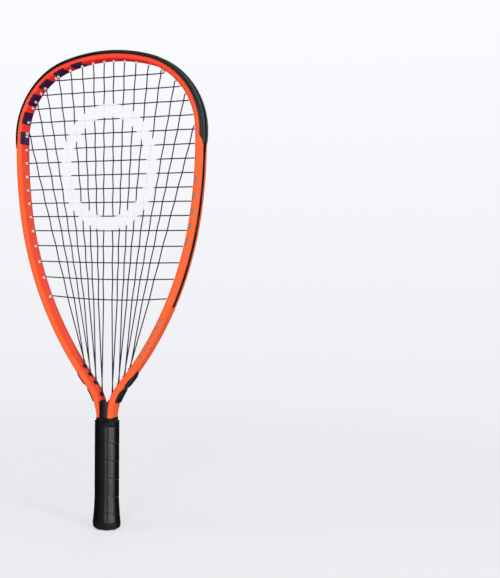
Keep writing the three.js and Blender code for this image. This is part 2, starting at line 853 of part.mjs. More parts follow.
function makeSideGuard(side) {
  const [from, to] = inOrder(side * (bumperTailReach + seatGap / 2), side * (guardEndReach - seatGap));
  const half = [
    [channelHalf, channelFloor],
    [channelHalf, tubeHalf],
    [channelHalf + guardRib, tubeHalf],
    [channelHalf + guardRib, guardBottom],
  ];
  const channel = sweepPoints(mirrored(half), from, to);
  return cutAll(channel, holesBetween(from, to).map((reach) => guardHole(reach)));
}

// A block over the leg's outer face, outlined by the beam and by the run along the leg
function facePrism(shape, reach, outFrom, outTo) {
  const geometry = new THREE.ExtrudeGeometry(shape, {
    depth: outTo - outFrom,
    bevelEnabled: false,
    curveSegments: 1,
  });
  geometry.rotateX(Math.PI / 2);
  geometry.translate(0, outTo, 0);
  return solidOf(placeOnHoop(geometry, reach));
}

// The cover over the throat loops: two rounded lobes and the narrow neck between them
function makeThroatCover(side) {
  const under = tubeHalf + seatGap;
  const lowest = throatReaches[0];
  const lobe = ({ from, to }) => {
    const length = (to - from) / 2;
    const shape = roundedShape(lobeHalfWidth, length, lobeCornerRadius);
    return facePrism(shape, side * (lowest - (from + to) / 2), -cutOverrun, under + 2 * tubeWidth);
  };
  const [from, to] = inOrder(side * (lowest - upperLobe.to), side * (lowest - lowerLobe.from));
  const thick = sweepBand(beamHalf, under, under + coverThickness, from - cutOverrun, to + cutOverrun);
  const neckStart = side * (lowest - upperLobe.from - lobeCornerRadius);
  const neckEnd = side * (lowest - lowerLobe.to + lobeCornerRadius);
  const neck = sweepBand(neckHalfWidth, under, under + neckThickness, ...inOrder(neckStart, neckEnd));
  return joinAll([lobe(lowerLobe).intersect(thick), lobe(upperLobe).intersect(thick), neck]);
}

// The insert between the legs: a round-topped cheek proud of both faces, and a tongue into the handle
function makeThroatInsert() {
  const cheekBottom = shaftFoot + collarHeight + seatGap;
  const tongueBottom = shaftFoot - insertTongueDepth;
  const cheekOutline = tongueOutline(cheekBottom, insertTopLevel, insertHalfWidth + insertProud);
  const cheek = facingPrism(cheekOutline, beamHalf + insertProud);
  const tongueShape = tongueOutline(tongueBottom, insertTopLevel, insertHalfWidth);
  const tongue = facingPrism(tongueShape, tenonHalf);
  const legStart = throatReaches[0] - throatMargin;
  const legs = [hoopTube(seatGap, legStart, legReach), hoopTube(seatGap, -legReach, -legStart)];
  const room = roundedShape(beamDepth, beamDepth, tubeCornerRadius);
  const tenonRoom = prism(octagonShape(tenonHalf), legEndLevel, shaftFoot);
  const below = prism(room, legEndLevel, shaftFoot).subtract(tenonRoom);
  return cutAll(cheek.add(tongue), [...legs, below]);
}

// An upright outline with a round top, seen from the front
function tongueOutline(bottom, top, half) {
  const shape = new THREE.Shape();
  shape.moveTo(-half, bottom);
  shape.lineTo(half, bottom);
  shape.absellipse(0, top - half / 2, half, half / 2, 0, Math.PI);
  shape.closePath();
  return shape;
}

function facingPrism(shape, halfBeam) {
  const geometry = new THREE.ExtrudeGeometry(shape, {
    depth: 2 * halfBeam,
    bevelEnabled: false,
    curveSegments: 3,
  });
  geometry.translate(0, 0, -halfBeam);
  geometry.rotateX(Math.PI / 2);
  return solidOf(geometry);
}

// The outer half width of the wrapped grip at a level, and of what lies under the wrap
function gripHalfAt(level) {
  const share = Math.max(0, flareTopLevel - level) / (flareTopLevel - wrapBottom);
  return gripHalf + (flareHalf - gripHalf) * share ** flarePower;
}

function underWrapHalf(level) {
  return gripHalfAt(level) - wrapThickness - wrapSeatGap;
}

function makePallet(face) {
  const upper = prism(octagonShape(palletHalf), capSkirtTop + seatGap, handleTopLevel);
  const lower = prism(octagonShape(rebateHalf), palletBottom, capSkirtTop + seatGap + cutOverrun);
  const boreShape = octagonShape(tenonHalf + seatGap);
  const bore = prism(boreShape, palletBottom - cutOverrun, handleTopLevel + cutOverrun);
  const reachAcross = 2 * palletHalf;
  const other = new THREE.BoxGeometry(2 * reachAcross, reachAcross, handleTopLevel * 2);
  other.translate(0, -face * (reachAcross / 2 - palletSeam / 2), handleTopLevel / 2);
  return cutAll(upper.add(lower), [bore, solidOf(other)]);
}

function makeButtCap() {
  const profile = capEdgeShares.map(({ level, half }) => {
    return { level: level * capLipLevel, half: half * flareHalf };
  });
  for (let i = 0; i < skirtRings; i += 1) {
    const level = THREE.MathUtils.lerp(capLipLevel, capSkirtTop, i / (skirtRings - 1));
    profile.push({ level, half: underWrapHalf(Math.max(level, wrapBottom)) });
  }
  const body = solidOf(octagonLoft(profile));
  const room = prism(octagonShape(rebateHalf + seatGap), capFloor, capSkirtTop + cutOverrun);
  const corner = wristCordHole / 2 / Math.cos(Math.PI / wristCordHoleSides);
  const hole = new THREE.CylinderGeometry(corner, corner, 2 * capFloor + 2 * cutOverrun, wristCordHoleSides);
  hole.rotateX(Math.PI / 2);
  return cutAll(body, [room, solidOf(hole)]);
}

// The grip wrap: one strip wound down the octagon, trimmed level at both ends
function makeGripWrap() {
  const corners = octagonRing(1);
  const turns = Math.ceil((wrapTop - wrapBottom) / wrapPitch) + 2;
  const width = wrapPitch - wrapSeam;
  const rings = [];
  for (let i = 0; i <= turns * corners.length; i += 1) {
    const { angle, radius } = corners[i % corners.length];
    const turn = (i - (i % corners.length)) / corners.length;
    const low = wrapTop + wrapPitch / 2 - wrapPitch * (turn + angle / (2 * Math.PI));
    const spoke = (half, level) => {
      return new THREE.Vector3(radius * half * Math.cos(angle), radius * half * Math.sin(angle), level);
    };
    const inner = (level) => underWrapHalf(level) + wrapSeatGap;
    rings.push([
      spoke(inner(low), low),
      spoke(inner(low + width), low + width),
      spoke(gripHalfAt(low + width) - wrapBevel, low + width),
      spoke(gripHalfAt(low + width - wrapBevel), low + width - wrapBevel),
      spoke(gripHalfAt(low + wrapBevel), low + wrapBevel),
      spoke(gripHalfAt(low) - wrapBevel, low),
    ]);
  }
  const wound = solidOf(loftRings(rings));
  const span = prism(roundedShape(2 * flareHalf, 2 * flareHalf, flareHalf), wrapBottom, wrapTop);
  return wound.intersect(span);
}

function makeFinishingTape() {
  const bottom = handleTopLevel - tapeHeight;
  const outer = prism(octagonShape(gripHalf - seatGap), bottom, handleTopLevel);
  const inside = octagonShape(palletHalf + seatGap);
  return outer.subtract(prism(inside, bottom - cutOverrun, handleTopLevel + cutOverrun));
}

// The rubber collar: a ring on the grip's end and a lip that hugs the shaft
function makeCollar() {
  const ringTop = shaftFoot + collarRingHeight;
  const lipTop = shaftFoot + collarHeight;
  const ring = prism(octagonShape(gripHalf + collarProud), shaftFoot, ringTop);
  const shaftHalf = legOffset + tubeHalf + collarLipWall;
  const lipShape = roundedShape(shaftHalf, beamHalf + collarLipWall, tubeCornerRadius + collarLipWall);
  const lip = prism(lipShape, shaftFoot, lipTop);
  const legStart = throatReaches[0];
  const legs = [hoopTube(seatGap, legStart, legReach), hoopTube(seatGap, -legReach, -legStart)];
  const betweenShape = roundedShape(legOffset, beamHalf + seatGap, seatGap);
  const between = prism(betweenShape, shaftFoot - cutOverrun, lipTop + cutOverrun);
  return cutAll(ring.add(lip), [...legs, between]);
}

// The whole racket
const racket = new THREE.Group();

function addNode(name, geometry, material) {
  const mesh = new THREE.Mesh(geometry, material);
  mesh.name = name;
  racket.add(mesh);
}

addNode('frame', geometryOf(makeFrame()), orangeLacquer);
addNode('head_grommet_strip', geometryOf(makeHeadStrip()), whiteNylon);
addNode('head_bumper', geometryOf(makeBumper()), blackNylon);
for (const [name, side] of [['left', -1], ['right', 1]]) {
  addNode(`side_grommet_strip_${name}`, geometryOf(makeSideStrip(side)), whiteNylon);
  addNode(`side_guard_${name}`, geometryOf(makeSideGuard(side)), blackNylon);
  addNode(`throat_grommet_${name}`, geometryOf(makeThroatGrommet(side)), blackNylon);
  addNode(`throat_cover_${name}`, geometryOf(makeThroatCover(side)), blackNylon);
  const path = mainStringPath(side);
  console.log(`main_string_${name} least gap to itself ${leastSelfGap(path).toFixed(2)} mm`);
  addNode(`main_string_${name}`, stringTube(path), greyString);
}
const crossPath = crossStringPath();
console.log(`cross_string least gap to itself ${leastSelfGap(crossPath).toFixed(2)} mm`);
addNode('cross_string', stringTube(crossPath), greyString);
addNode('throat_insert', geometryOf(makeThroatInsert()), blackNylon);
addNode('pallet_front', geometryOf(makePallet(-1)), palletFoam);
addNode('pallet_back', geometryOf(makePallet(1)), palletFoam);
addNode('butt_cap', geometryOf(makeButtCap()), blackRubber);
addNode('grip_wrap', geometryOf(makeGripWrap()), wrapFoam);
addNode('finishing_tape', geometryOf(makeFinishingTape()), blackTape);
addNode('grip_collar', geometryOf(makeCollar()), blackRubber);

export default racket;
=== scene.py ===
"""A racquetball racket with its finishes, built around the packed construction model."""

import math

import bmesh
import bpy
from bpy.props import FloatProperty, FloatVectorProperty, PointerProperty
from mathutils import Euler, Matrix, Vector


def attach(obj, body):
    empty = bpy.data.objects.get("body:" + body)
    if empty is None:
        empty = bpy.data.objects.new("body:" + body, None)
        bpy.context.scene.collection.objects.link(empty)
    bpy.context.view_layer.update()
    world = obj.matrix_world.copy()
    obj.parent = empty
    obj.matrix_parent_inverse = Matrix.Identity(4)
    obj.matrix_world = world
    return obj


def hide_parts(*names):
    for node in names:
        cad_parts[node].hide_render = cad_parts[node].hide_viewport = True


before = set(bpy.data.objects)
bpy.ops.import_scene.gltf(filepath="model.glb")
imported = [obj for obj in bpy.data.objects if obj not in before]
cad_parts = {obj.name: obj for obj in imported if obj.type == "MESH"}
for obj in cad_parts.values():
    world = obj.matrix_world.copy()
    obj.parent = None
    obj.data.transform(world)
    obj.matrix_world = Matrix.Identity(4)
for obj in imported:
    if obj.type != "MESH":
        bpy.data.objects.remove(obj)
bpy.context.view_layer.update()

bl_info = {
    "name": "Racquetball Racket",
    "version": (1, 0, 0),
    "blender": (4, 5, 0),
    "location": "3D View > Sidebar > Racket",
    "description": "Builds a racquetball racket with its strings, guards, grip and finishes",
    "category": "Add Mesh",
}

MM = 0.001
SIDES = (("left", -1), ("right", 1))


# Properties that a user would change


def length(name, description, millimetres):
    """A length property, given in millimetres and kept in metres."""
    return FloatProperty(
        name=name, description=description, default=millimetres * MM, unit="LENGTH", precision=5
    )


def turn(name, description, degrees):
    """An angle property, given in degrees and kept in radians."""
    return FloatProperty(
        name=name, description=description, default=math.radians(degrees), subtype="ANGLE"
    )


def share(name, description, value):
    """A plain ratio."""
    return FloatProperty(name=name, description=description, default=value, precision=4)


def paint(name, description, red, green, blue):
    """A colour property from display values between 0 and 255."""
    linear = [((value / 255 + 0.055) / 1.055) ** 2.4 for value in (red, green, blue)]
    return FloatVectorProperty(
        name=name, description=description, default=linear, subtype="COLOR", size=3, min=0, max=1
    )


class HoopSizes(bpy.types.PropertyGroup):
    """The tube and the arcs of its centre line, from the crown down."""

    overall: length("Overall length", "From the butt end to the top of the bumper", 558.8)
    gap: length("Seat gap", "Clearance between pieces that touch on the real racket", 0.3)
    width: length("Tube width", "Width of the tube in the plane of the strings", 8.4)
    beam: length("Beam", "Depth of the tube through the plane of the strings", 21)
    corner: length("Tube corner", "Radius of the tube's long edges", 3)
    groove: length("Groove width", "Width of the groove round the outside", 8)
    lip: length("Groove lip", "Rounding of the groove's edges", 0.35)
    leg_offset: length("Leg offset", "From the long axis to the middle of a leg", 5.7)
    leg_rise: length("Straight leg rise", "From the handle's top to where the legs turn", 1.1)
    shoulder_turn: turn("Shoulder turn", "Turn of the shoulder's arc", 71.6)
    side_turn: turn("Side turn", "Turn of the side's arc", 10)
    lower_turn: turn("Lower turn", "Turn of the long lower arc", 31)
    throat_turn: turn("Throat turn", "Turn back of the throat's arc", 39.3)
    shoulder_share: share("Shoulder share", "Shoulder radius as a share of the hoop's height", 0.2018)
    side_share: share("Side share", "Side radius as a share of the hoop's height", 1.3)
    lower_share: share("Lower share", "Lower radius as a share of the hoop's height", 0.9515)
    throat_share: share("Throat share", "Throat radius as a share of the hoop's height", 0.1623)
    facet: length("Facet", "Step between the rings of a swept piece", 2.2)


class BedSizes(bpy.types.PropertyGroup):
    """The strings and where they meet the hoop."""

    string: length("String", "Diameter of the string", 1.4)
    top_drop: length("Top cross drop", "From the crown's centre line to the first cross", 23.2)
    pitch: length("Cross pitch", "Nominal distance between crosses", 15.95)
    lowest_rise: length("Lowest cross rise", "From the handle's top to the lowest cross", 143.4)
    sag: length("Lowest cross sag", "How far the lowest cross is drawn down in its middle", 3)
    short_run: length("Short run", "A crossing nearer to the wall than this bends one string only", 4)
    knot: length("Knot", "Diameter of a stopper knot", 2.1)
    knot_length: length("Knot length", "Length of a stopper knot", 2.6)
    knot_run: length("Knot run", "From a hole to the far end of its knot", 4.2)
    knot_room: length("Knot room", "Clearance over a knot", 0.2)
    shared_gap: length("Shared hole gap", "Clearance between two strings in one hole", 0.5)
    hole_rise: length("Throat hole rise", "From the handle's top to the lowest throat hole", 31.65)
    first_pitch: length("Lowest throat pitch", "Between the two lowest throat holes", 14.4)
    throat_pitch: length("Throat pitch", "Between the other throat holes", 11.8)
    weave_bend: length("Weave bend", "Radius of a string's bend over another", 5)
    hole_bend: length("Hole bend", "Radius of a string's bend at a hole", 0.75)
    twist: length("Twist", "Advance of a string's strands in one turn", 1.6)
    ring_across: length("Ring half width", "Half width of the ring painted on the strings", 55)
    ring_up: length("Ring half height", "Half height of the painted ring", 66)
    ring_band: share("Ring band", "Half of the ring's band as a share of its radius", 0.115)
    ring_share: share("Ring place", "Where the ring is, from the crown to the lowest cross", 0.451)


class GuardSizes(bpy.types.PropertyGroup):
    """Grommets, bumper, side guards and throat covers."""

    wall: length("Grommet wall", "Wall of a grommet barrel", 0.5)
    strip: length("Strip thickness", "Thickness of a grommet strip", 0.7)
    nose: length("Nose reach", "How far a head barrel stands out of the hoop's inner wall", 3.0)
    throat_nose: length("Throat nose reach", "How far a throat barrel stands out of the inner wall", 3.6)
    throat_entry: length("Throat entry", "How far off the inner wall a main turns into its barrel", 1.8)
    throat_lean: share("Throat lean", "Slope of the cut across a throat barrel's nose", 0.6)
    floor: length("Guard floor", "Thickness of a guard's floor", 0.8)
    rib: length("Guard rib", "Thickness of a guard's upright rib", 0.7)
    overrun: length("Guard overrun", "How far a guard runs past the last knot", 1)
    bumper: length("Bumper thickness", "Thickness of the bumper on the outer face", 2)
    bumper_edge: length("Bumper edge", "Thickness of the bumper at its rim", 0.6)
    bumper_wrap: turn("Bumper wrap", "How far the bumper turns round the tube's edge", 78)
    bumper_share: share("Bumper share", "Where the bumper ends, from crown to lowest cross", 0.4038)
    wing_start: length("Wing start rise", "From the bumper's end to where its wings begin", 6.6)
    wing_tip: length("Wing tip rise", "From the bumper's end to where its wings are whole", 17.6)
    cover: length("Cover thickness", "Thickness of a throat cover's lobes", 2.3)
    neck: length("Neck thickness", "Thickness of a throat cover's neck", 2.0)
    lobe_half: length("Lobe half width", "Half of a lobe's width through the beam", 9.4)
    neck_half: length("Neck half width", "Half of the neck's width through the beam", 4.5)
    lobe_corner: length("Lobe corner", "Radius of a lobe's corners", 3.4)
    lobe_tip: length("Lobe tip", "Length of the upper lobe's tapered end", 12)
    cover_overlap: length("Cover overlap", "How far a cover runs past the throat groove", 1)


class HandleSizes(bpy.types.PropertyGroup):
    """Pallets, grip, collar, cap and throat insert."""

    top: length("Handle top", "Level of the pallets' top", 126.6)
    grip_half: length("Grip half width", "From the axis to a flat of the wrapped grip", 14)
    wrap: length("Wrap thickness", "Thickness of the grip's strip", 2.3)
    pitch: length("Wrap pitch", "Advance of the strip in one turn", 20.76)
    seam: length("Wrap seam", "Gap between two turns of the strip", 0.12)
    wrap_round: length("Wrap rounding", "Rounding of the strip's edges", 0.45)
    wrap_crown: length("Wrap crown", "How far the strip swells in its middle", 0.08)
    wrap_ridge: length("Wrap ridge", "How far the strip's lower edge stands up", 0.14)
    flare_top: length("Flare top", "Level at which the grip begins to flare", 40)
    flare: length("Flare", "How much wider the butt is than the grip, on a side", 1.7)
    pallet_wall: length("Pallet wall", "Thinnest wall of a pallet", 1.4)
    leg_rise: length("Leg end rise", "From the pallets' foot to the ends of the legs", 15)
    tape: length("Tape height", "Height of the finishing tape", 4.4)
    cap_floor: length("Cap floor", "Thickness of the cap's floor", 5)
    cap_lip: length("Cap lip", "Level of the cap's lip, where the wrap begins", 9)
    cap_top: length("Cap top", "Level of the cap's skirt under the wrap", 34)
    cap_wall: length("Cap wall", "Wall of the cap's skirt", 0.8)
    cord_hole: length("Cord hole", "Diameter of the wrist cord's hole", 9)
    ring: length("Collar ring", "Height of the collar's ring on the grip's end", 0.9)
    collar: length("Collar height", "Height of the collar with its lip", 5.1)
    collar_wall: length("Collar wall", "Wall of the collar's lip", 0.5)
    collar_proud: length("Collar proud", "How far the collar's ring stands out over the grip", 0.3)
    insert_rise: length("Insert rise", "From the handle's top to the insert's top", 27)
    insert_half: length("Insert half width", "Half width of the insert between the legs", 3.4)
    insert_proud: length("Insert proud", "How far the insert's cheek stands out", 1.6)


class RacketColours(bpy.types.PropertyGroup):
    """Colours as they are seen in plain light."""

    orange: paint("Orange", "Lacquer of the sides and legs", 255, 102, 54)
    # This red is mixed in towards the crown, and on the inner wall as painted shade.
    red: paint("Red", "Lacquer of the head's top and inner wall", 240, 44, 44)
    navy: paint("Navy", "Plain marks on the lacquer", 18, 20, 66)
    grey: paint("Grey", "Plain marks on the right side and the lower leg", 150, 116, 98)
    nylon: paint("Black nylon", "Bumper, guards and covers", 17, 17, 18)
    barrel: paint("White nylon", "Head grommets", 222, 220, 215)
    string: paint("String", "Strings", 44, 44, 46)
    stencil: paint("Stencil", "Ring painted on the strings", 246, 246, 248)
    grip: paint("Grip", "Grip wrap", 13, 13, 13)
    rubber: paint("Rubber", "Collar and butt cap", 16, 16, 17)
    foam: paint("Foam", "Handle pallets", 66, 65, 63)


class StageSizes(bpy.types.PropertyGroup):
    """Camera and light."""

    distance: length("Camera distance", "From the racket's axis to the camera", 1200)
    azimuth: turn("Camera azimuth", "Turn of the camera to the racket's right", 24.9)
    height: length("Camera height", "Level of the camera over the floor", 333.4)
    pitch: turn("Camera pitch", "How far the camera looks down", 2.42)
    roll: turn("Camera roll", "How far the camera is rolled about its view", 0.29)
    focal: share("Focal length", "Focal length over the longer side of the picture", 1.7725)
    shift: share("Camera shift", "Sideways shift over the longer side of the picture", 0.246)
    floor: length("Floor radius", "Radius of the floor's disc", 2400)


# Layout of the hoop and its strings

# The lowest gaps between crosses, as shares of the even pitch above them
LOW_PITCH_SHARES = (1.056, 1.127, 1.193, 1.21, 1.482)
# Head holes of the inner mains, as shares of the way to the first cross
INNER_MAIN_SHARES = (0.0836, 0.2793, 0.4808, 0.704, 0.9478)
# Head holes of the outer mains: the cross above, and the share of the way to the next one
OUTER_MAIN_SEATS = ((0, 0.69), (1, 0.6), (3, 0.78))
# Where the mains pass the lowest cross, as shares of its half width
LOW_MAIN_SHARES = (0.08, 0.161, 0.255, 0.33, 0.429, 0.508, 0.611, 0.716)
MAINS_PER_SIDE = len(LOW_MAIN_SHARES)
# How late down the bed the crosses begin to sag
SAG_POWER = 8
# How far off the channel's middle a string runs outside the hoop, and how far from its holes
LOOP_SPREAD_SHARE = 0.533
LOOP_END_SHARE = 0.2
LOOP_STEP = 6 * MM
# Exponents that set how sharp an octagon's corners are: the pallets', the wrap's, the cap's and
# those of the cap's rounded rim
OCTAGON_SHARPNESS = 34
WRAP_SHARPNESS = 15
CAP_SHARPNESS = 28
RIM_SHARPNESS = 26
CAP_RIM = 3.4 * MM
# How late down the grip its flare opens
FLARE_POWER = 1.7
# Where a throat cover's neck begins and ends, as shares of the lowest throat pitch
LOBE_SHARES = (0.95, 1.3)
# How much thickness is left at the bumper's ends, and how far it fades below and above its wings
BUMPER_END_SHARE = 0.15
BUMPER_FADE = (3 * MM, 9 * MM)
# How much thickness is left at the head's sides, and from where below the crown, over what height
BUMPER_SIDE_SHARE = 0.62
BUMPER_SIDE_FADE = (3 * MM, 34 * MM)
# Points along each side of the bumper's wing, and the least share of a wing that is made
WING_POINTS = 16
LEAST_WING = 0.015
BUMPER_STEP = 1.2 * MM
GUARD_LIP = 0.2 * MM
# How a throat cover's upper lobe tapers: the share of its width that goes, and how late it goes
LOBE_TAPER_SHARE = 0.85
LOBE_TAPER_POWER = 2.2
# A throat cover's rounded edge, the low rim inside it, and how full its dome is
COVER_BEVEL = 1.3 * MM
COVER_RIM = 0.4 * MM
COVER_DOME_POWER = 0.8
COVER_POINTS = 20
COVER_STEP = 0.3 * MM
COVER_END_INSET = 0.02 * MM
# How soon a throat cover is at its full thickness as it widens
COVER_THICKENING = 1.4
# The insert's rounding as a share of its half width, its saddle below the top, its tongue
INSERT_ROUNDING = 0.97
INSERT_SADDLE = 7 * MM
INSERT_TONGUE = 12 * MM
# How much lower the insert's back cheek is
INSERT_LOWER = 2.6 * MM
# Steps in a turn of the wrap, and where it starts over the grip's top, in turns
WRAP_STEPS = 112
WRAP_START = 0.976


def blend(low, high, part):
    """The value at a share of the way from one to another."""
    return low + (high - low) * part


def clamp(part):
    return max(0.0, min(1.0, part))


def eased(part):
    """A share that leaves 0 and reaches 1 without a kink."""
    return part * part * (3 - 2 * part)


def ordered(side, start, end):
    """Two distances on one side of the crown, the lower first."""
    return tuple(sorted((side * start, side * end)))


class Layout:
    """The hoop's centre line, with the places of its holes, guards and strings, all in metres."""

    def __init__(self, scene):
        self.hoop, self.bed = hoop, bed = scene.racket_hoop, scene.racket_bed
        self.guard, self.handle = guard, handle = scene.racket_guards, scene.racket_handle
        self.gap = hoop.gap
        self.half = hoop.width / 2
        self.beam = hoop.beam / 2
        self.string = bed.string / 2
        self.groove = self.half - bed.knot_room - bed.knot - guard.strip - 2 * self.gap
        self.strip_bottom = self.groove + self.gap
        self.strip_top = self.strip_bottom + guard.strip
        self.guard_bottom = self.strip_top + self.gap
        self.channel = self.guard_bottom + guard.floor
        self.channel_half = hoop.groove / 2 - self.gap - guard.rib
        self.head_out = self.channel + self.gap + self.string
        self.throat_out = self.strip_top + self.gap + self.string
        self.nose_end = -(self.half + guard.nose)
        self.throat_nose_end = -(self.half + guard.throat_nose)
        self.mouth = self.nose_end - self.gap - self.string
        self.throat_mouth = -(self.half + guard.throat_entry)
        self.bore = self.string + self.gap
        self.spread = self.string + bed.shared_gap / 2
        self.loop_spread = self.channel_half * LOOP_SPREAD_SHARE
        self.crown = hoop.overall - guard.bumper - self.gap - self.half
        self.lowest_cross = handle.top + bed.lowest_rise
        self.bumper_tail = blend(self.crown, self.lowest_cross, guard.bumper_share)
        self.throat_margin = bed.knot_run + self.gap
        self.pallet_half = handle.grip_half - handle.wrap - self.gap
        self.pallet_foot = handle.cap_floor + self.gap
        self.rebate_half = self.pallet_half - self.gap - handle.cap_wall
        self.tenon_half = self.rebate_half - handle.pallet_wall - self.gap
        self.leg_end = self.pallet_foot + handle.leg_rise
        self.shaft_foot = handle.top + self.gap
        self.arcs = self.lay_arcs()
        self.leg_reach = self.arcs[-1]["reach"] + self.arcs[-1]["length"]
        self.crosses = self.lay_crosses()
        self.main_reaches = self.lay_main_reaches()
        self.throat_reaches = self.lay_throat_holes()
        self.bumper_reach = self.reach_at(self.bumper_tail, self.groove)
        self.guard_reach = self.crosses[-1]["reach"] + self.throat_margin + guard.overrun
        self.mains = self.lay_mains()
        self.crossings = self.lay_crossings()

    def lay_arcs(self):
        """The right half of the centre line: arcs that close on the straight leg, then the leg."""
        hoop = self.hoop
        heading = math.pi / 2 + hoop.throat_turn - hoop.lower_turn - hoop.side_turn - hoop.shoulder_turn
        bends = (
            (hoop.shoulder_share, hoop.shoulder_turn),
            (hoop.side_share, hoop.side_turn),
            (hoop.lower_share, hoop.lower_turn),
            (-hoop.throat_share, -hoop.throat_turn),
        )
        crown_turn = heading
        crown_across, crown_down = math.sin(heading), 1 - math.cos(heading)
        across = down = 0
        for radius, bend in bends:
            following = heading + bend
            across += radius * (math.sin(following) - math.sin(heading))
            down += radius * (math.cos(heading) - math.cos(following))
            heading = following
        height = self.crown - self.handle.top - hoop.leg_rise
        fit = height * crown_across - hoop.leg_offset * crown_down
        fit /= crown_across * down - crown_down * across
        crown_radius = (hoop.leg_offset - fit * across) / crown_across
        arcs = []
        place = {"reach": 0, "x": 0, "z": self.crown, "heading": 0}
        fitted = [(crown_radius, crown_turn)] + [(part * fit, bend) for part, bend in bends]
        for radius, bend in fitted:
            arcs.append({**place, "radius": radius, "length": radius * bend})
            following = place["heading"] + bend
            place = {
                "reach": place["reach"] + radius * bend,
                "x": place["x"] + radius * (math.sin(following) - math.sin(place["heading"])),
                "z": place["z"] + radius * (math.cos(following) - math.cos(place["heading"])),
                "heading": following,
            }
        arcs.append({**place, "radius": None, "length": place["z"] - self.leg_end})
        return arcs

    def spot(self, reach):
        """Place and outward direction on the centre line, at a signed distance from the crown."""
        side = -1 if reach < 0 else 1
        distance = abs(reach)
        arc = next((a for a in self.arcs if distance <= a["reach"] + a["length"]), self.arcs[-1])
        along = distance - arc["reach"]
        if arc["radius"] is None:
            return side * arc["x"], arc["z"] - along, side, 0
        heading = arc["heading"] + along / arc["radius"]
        x = arc["x"] + arc["radius"] * (math.sin(heading) - math.sin(arc["heading"]))
        z = arc["z"] + arc["radius"] * (math.cos(heading) - math.cos(arc["heading"]))
        return side * x, z, side * math.sin(heading), math.cos(heading)

    def point(self, reach, out=0, beam=0):
        """A point beside the centre line: out from it, and through the beam."""
        x, z, out_x, out_z = self.spot(reach)
        return Vector((x + out_x * out, beam, z + out_z * out))

    def outward(self, reach):
        _, _, out_x, out_z = self.spot(reach)
        return Vector((out_x, 0, out_z))

    def locate(self, x, z):
        """Signed distance from the crown, and distance out from the centre line, of any point."""
        side = -1 if x < 0 else 1
        found = []
        for line in self.arcs:
            if line["radius"] is None:
                reach, out = line["reach"] + line["z"] - z, abs(x) - line["x"]
            else:
                radius, start = line["radius"], line["heading"]
                across = abs(x) - line["x"] + radius * math.sin(start)
                up = z - line["z"] + radius * math.cos(start)
                way = math.copysign(1, radius)
                reach = line["reach"] + radius * (math.atan2(way * across, way * up) - start)
                out = way * math.hypot(across, up) - radius
            past = max(line["reach"] - reach, reach - line["reach"] - line["length"], 0)
            found.append((past + abs(out), reach, out))
        _, reach, out = min(found)
        return side * reach, out

    def reach_at(self, level, out=0):
        """The distance from the crown at which a line beside the centre line has a level."""
        low, high = 0, self.leg_reach
        for _ in range(50):
            middle = (low + high) / 2
            if self.point(middle, out).z < level:
                high = middle
            else:
                low = middle
        return (low + high) / 2

    def lay_crosses(self):
        """Distances and sags of the crosses, from the crown down."""
        top = self.crown - self.bed.top_drop
        height = top - self.lowest_cross
        even = round(height / self.bed.pitch - sum(LOW_PITCH_SHARES))
        pitch = height / (even + sum(LOW_PITCH_SHARES))
        levels = [top]
        for drop in [1] * even + list(LOW_PITCH_SHARES):
            levels.append(levels[-1] - drop * pitch)
        crosses = []
        for k, level in enumerate(levels):
            sag = self.bed.sag * ((k + 1) / len(levels)) ** SAG_POWER
            crosses.append({"sag": sag, "reach": self.reach_at(level + sag, self.mouth)})
        return crosses

    def lay_main_reaches(self):
        """Head holes of the mains on the right, from the middle out."""
        inner = [part * self.crosses[0]["reach"] for part in INNER_MAIN_SHARES]
        outer = [
            blend(self.crosses[k]["reach"], self.crosses[k + 1]["reach"], part)
            for k, part in OUTER_MAIN_SEATS
        ]
        return inner + outer

    def lay_throat_holes(self):
        """Throat holes on the right, from the lowest up, two mains to a hole."""
        lowest = self.reach_at(self.handle.top + self.bed.hole_rise, -self.half)
        upper = [
            lowest - self.bed.first_pitch - self.bed.throat_pitch * i
            for i in range(MAINS_PER_SIDE // 2 - 1)
        ]
        return [lowest] + upper

    def lay_mains(self):
        mains = []
        lowest = self.crosses[-1]
        mouth = self.point(lowest["reach"], self.mouth)
        for index, reach in enumerate(self.main_reaches):
            throat = self.throat_reaches[index // 2]
            part = LOW_MAIN_SHARES[index]
            mains.append(
                {
                    "index": index,
                    "head": reach,
                    "throat": throat,
                    "low": self.point(throat, self.throat_mouth),
                    "knee": Vector((part * mouth.x, 0, mouth.z - lowest["sag"] * (1 - part**2))),
                    "high": self.point(reach, self.mouth),
                }
            )
        return mains

    def main_x(self, main, level):
        """How far from the axis a main runs at a level. It is bent at the lowest cross."""
        knee = main["knee"]
        low, high = (main["low"], knee) if level < knee.z else (knee, main["high"])
        return blend(low.x, high.x, (level - low.z) / (high.z - low.z))

    def lay_crossings(self):
        """Every crossing on the right, with the step of each string off the middle plane."""
        offset = self.string + self.gap / 2
        found = []
        for k, cross in enumerate(self.crosses):
            mouth = self.point(cross["reach"], self.mouth)
            for main in self.mains:
                x = self.main_x(main, mouth.z)
                z = mouth.z - cross["sag"] * (1 - (x / mouth.x) ** 2)
                if z < main["high"].z - self.bore and x < mouth.x - self.gap:
                    sign = -1 if (k + main["index"]) % 2 else 1
                    near = mouth.x - x < self.bed.short_run
                    main_step, cross_step = (2 * offset, 0) if near else (offset, offset)
                    found.append(
                        {
                            "k": k,
                            "main": main["index"],
                            "x": self.main_x(main, z),
                            "z": z,
                            "main_beam": sign * main_step,
                            "cross_beam": -sign * cross_step,
                        }
                    )
        return found

    def head_holes(self, low, high):
        """Signed distances of the head holes between two distances."""
        reaches = self.main_reaches + [cross["reach"] for cross in self.crosses]
        both = [side * reach for reach in reaches for side in (-1, 1)]
        return sorted(reach for reach in both if low < reach < high)

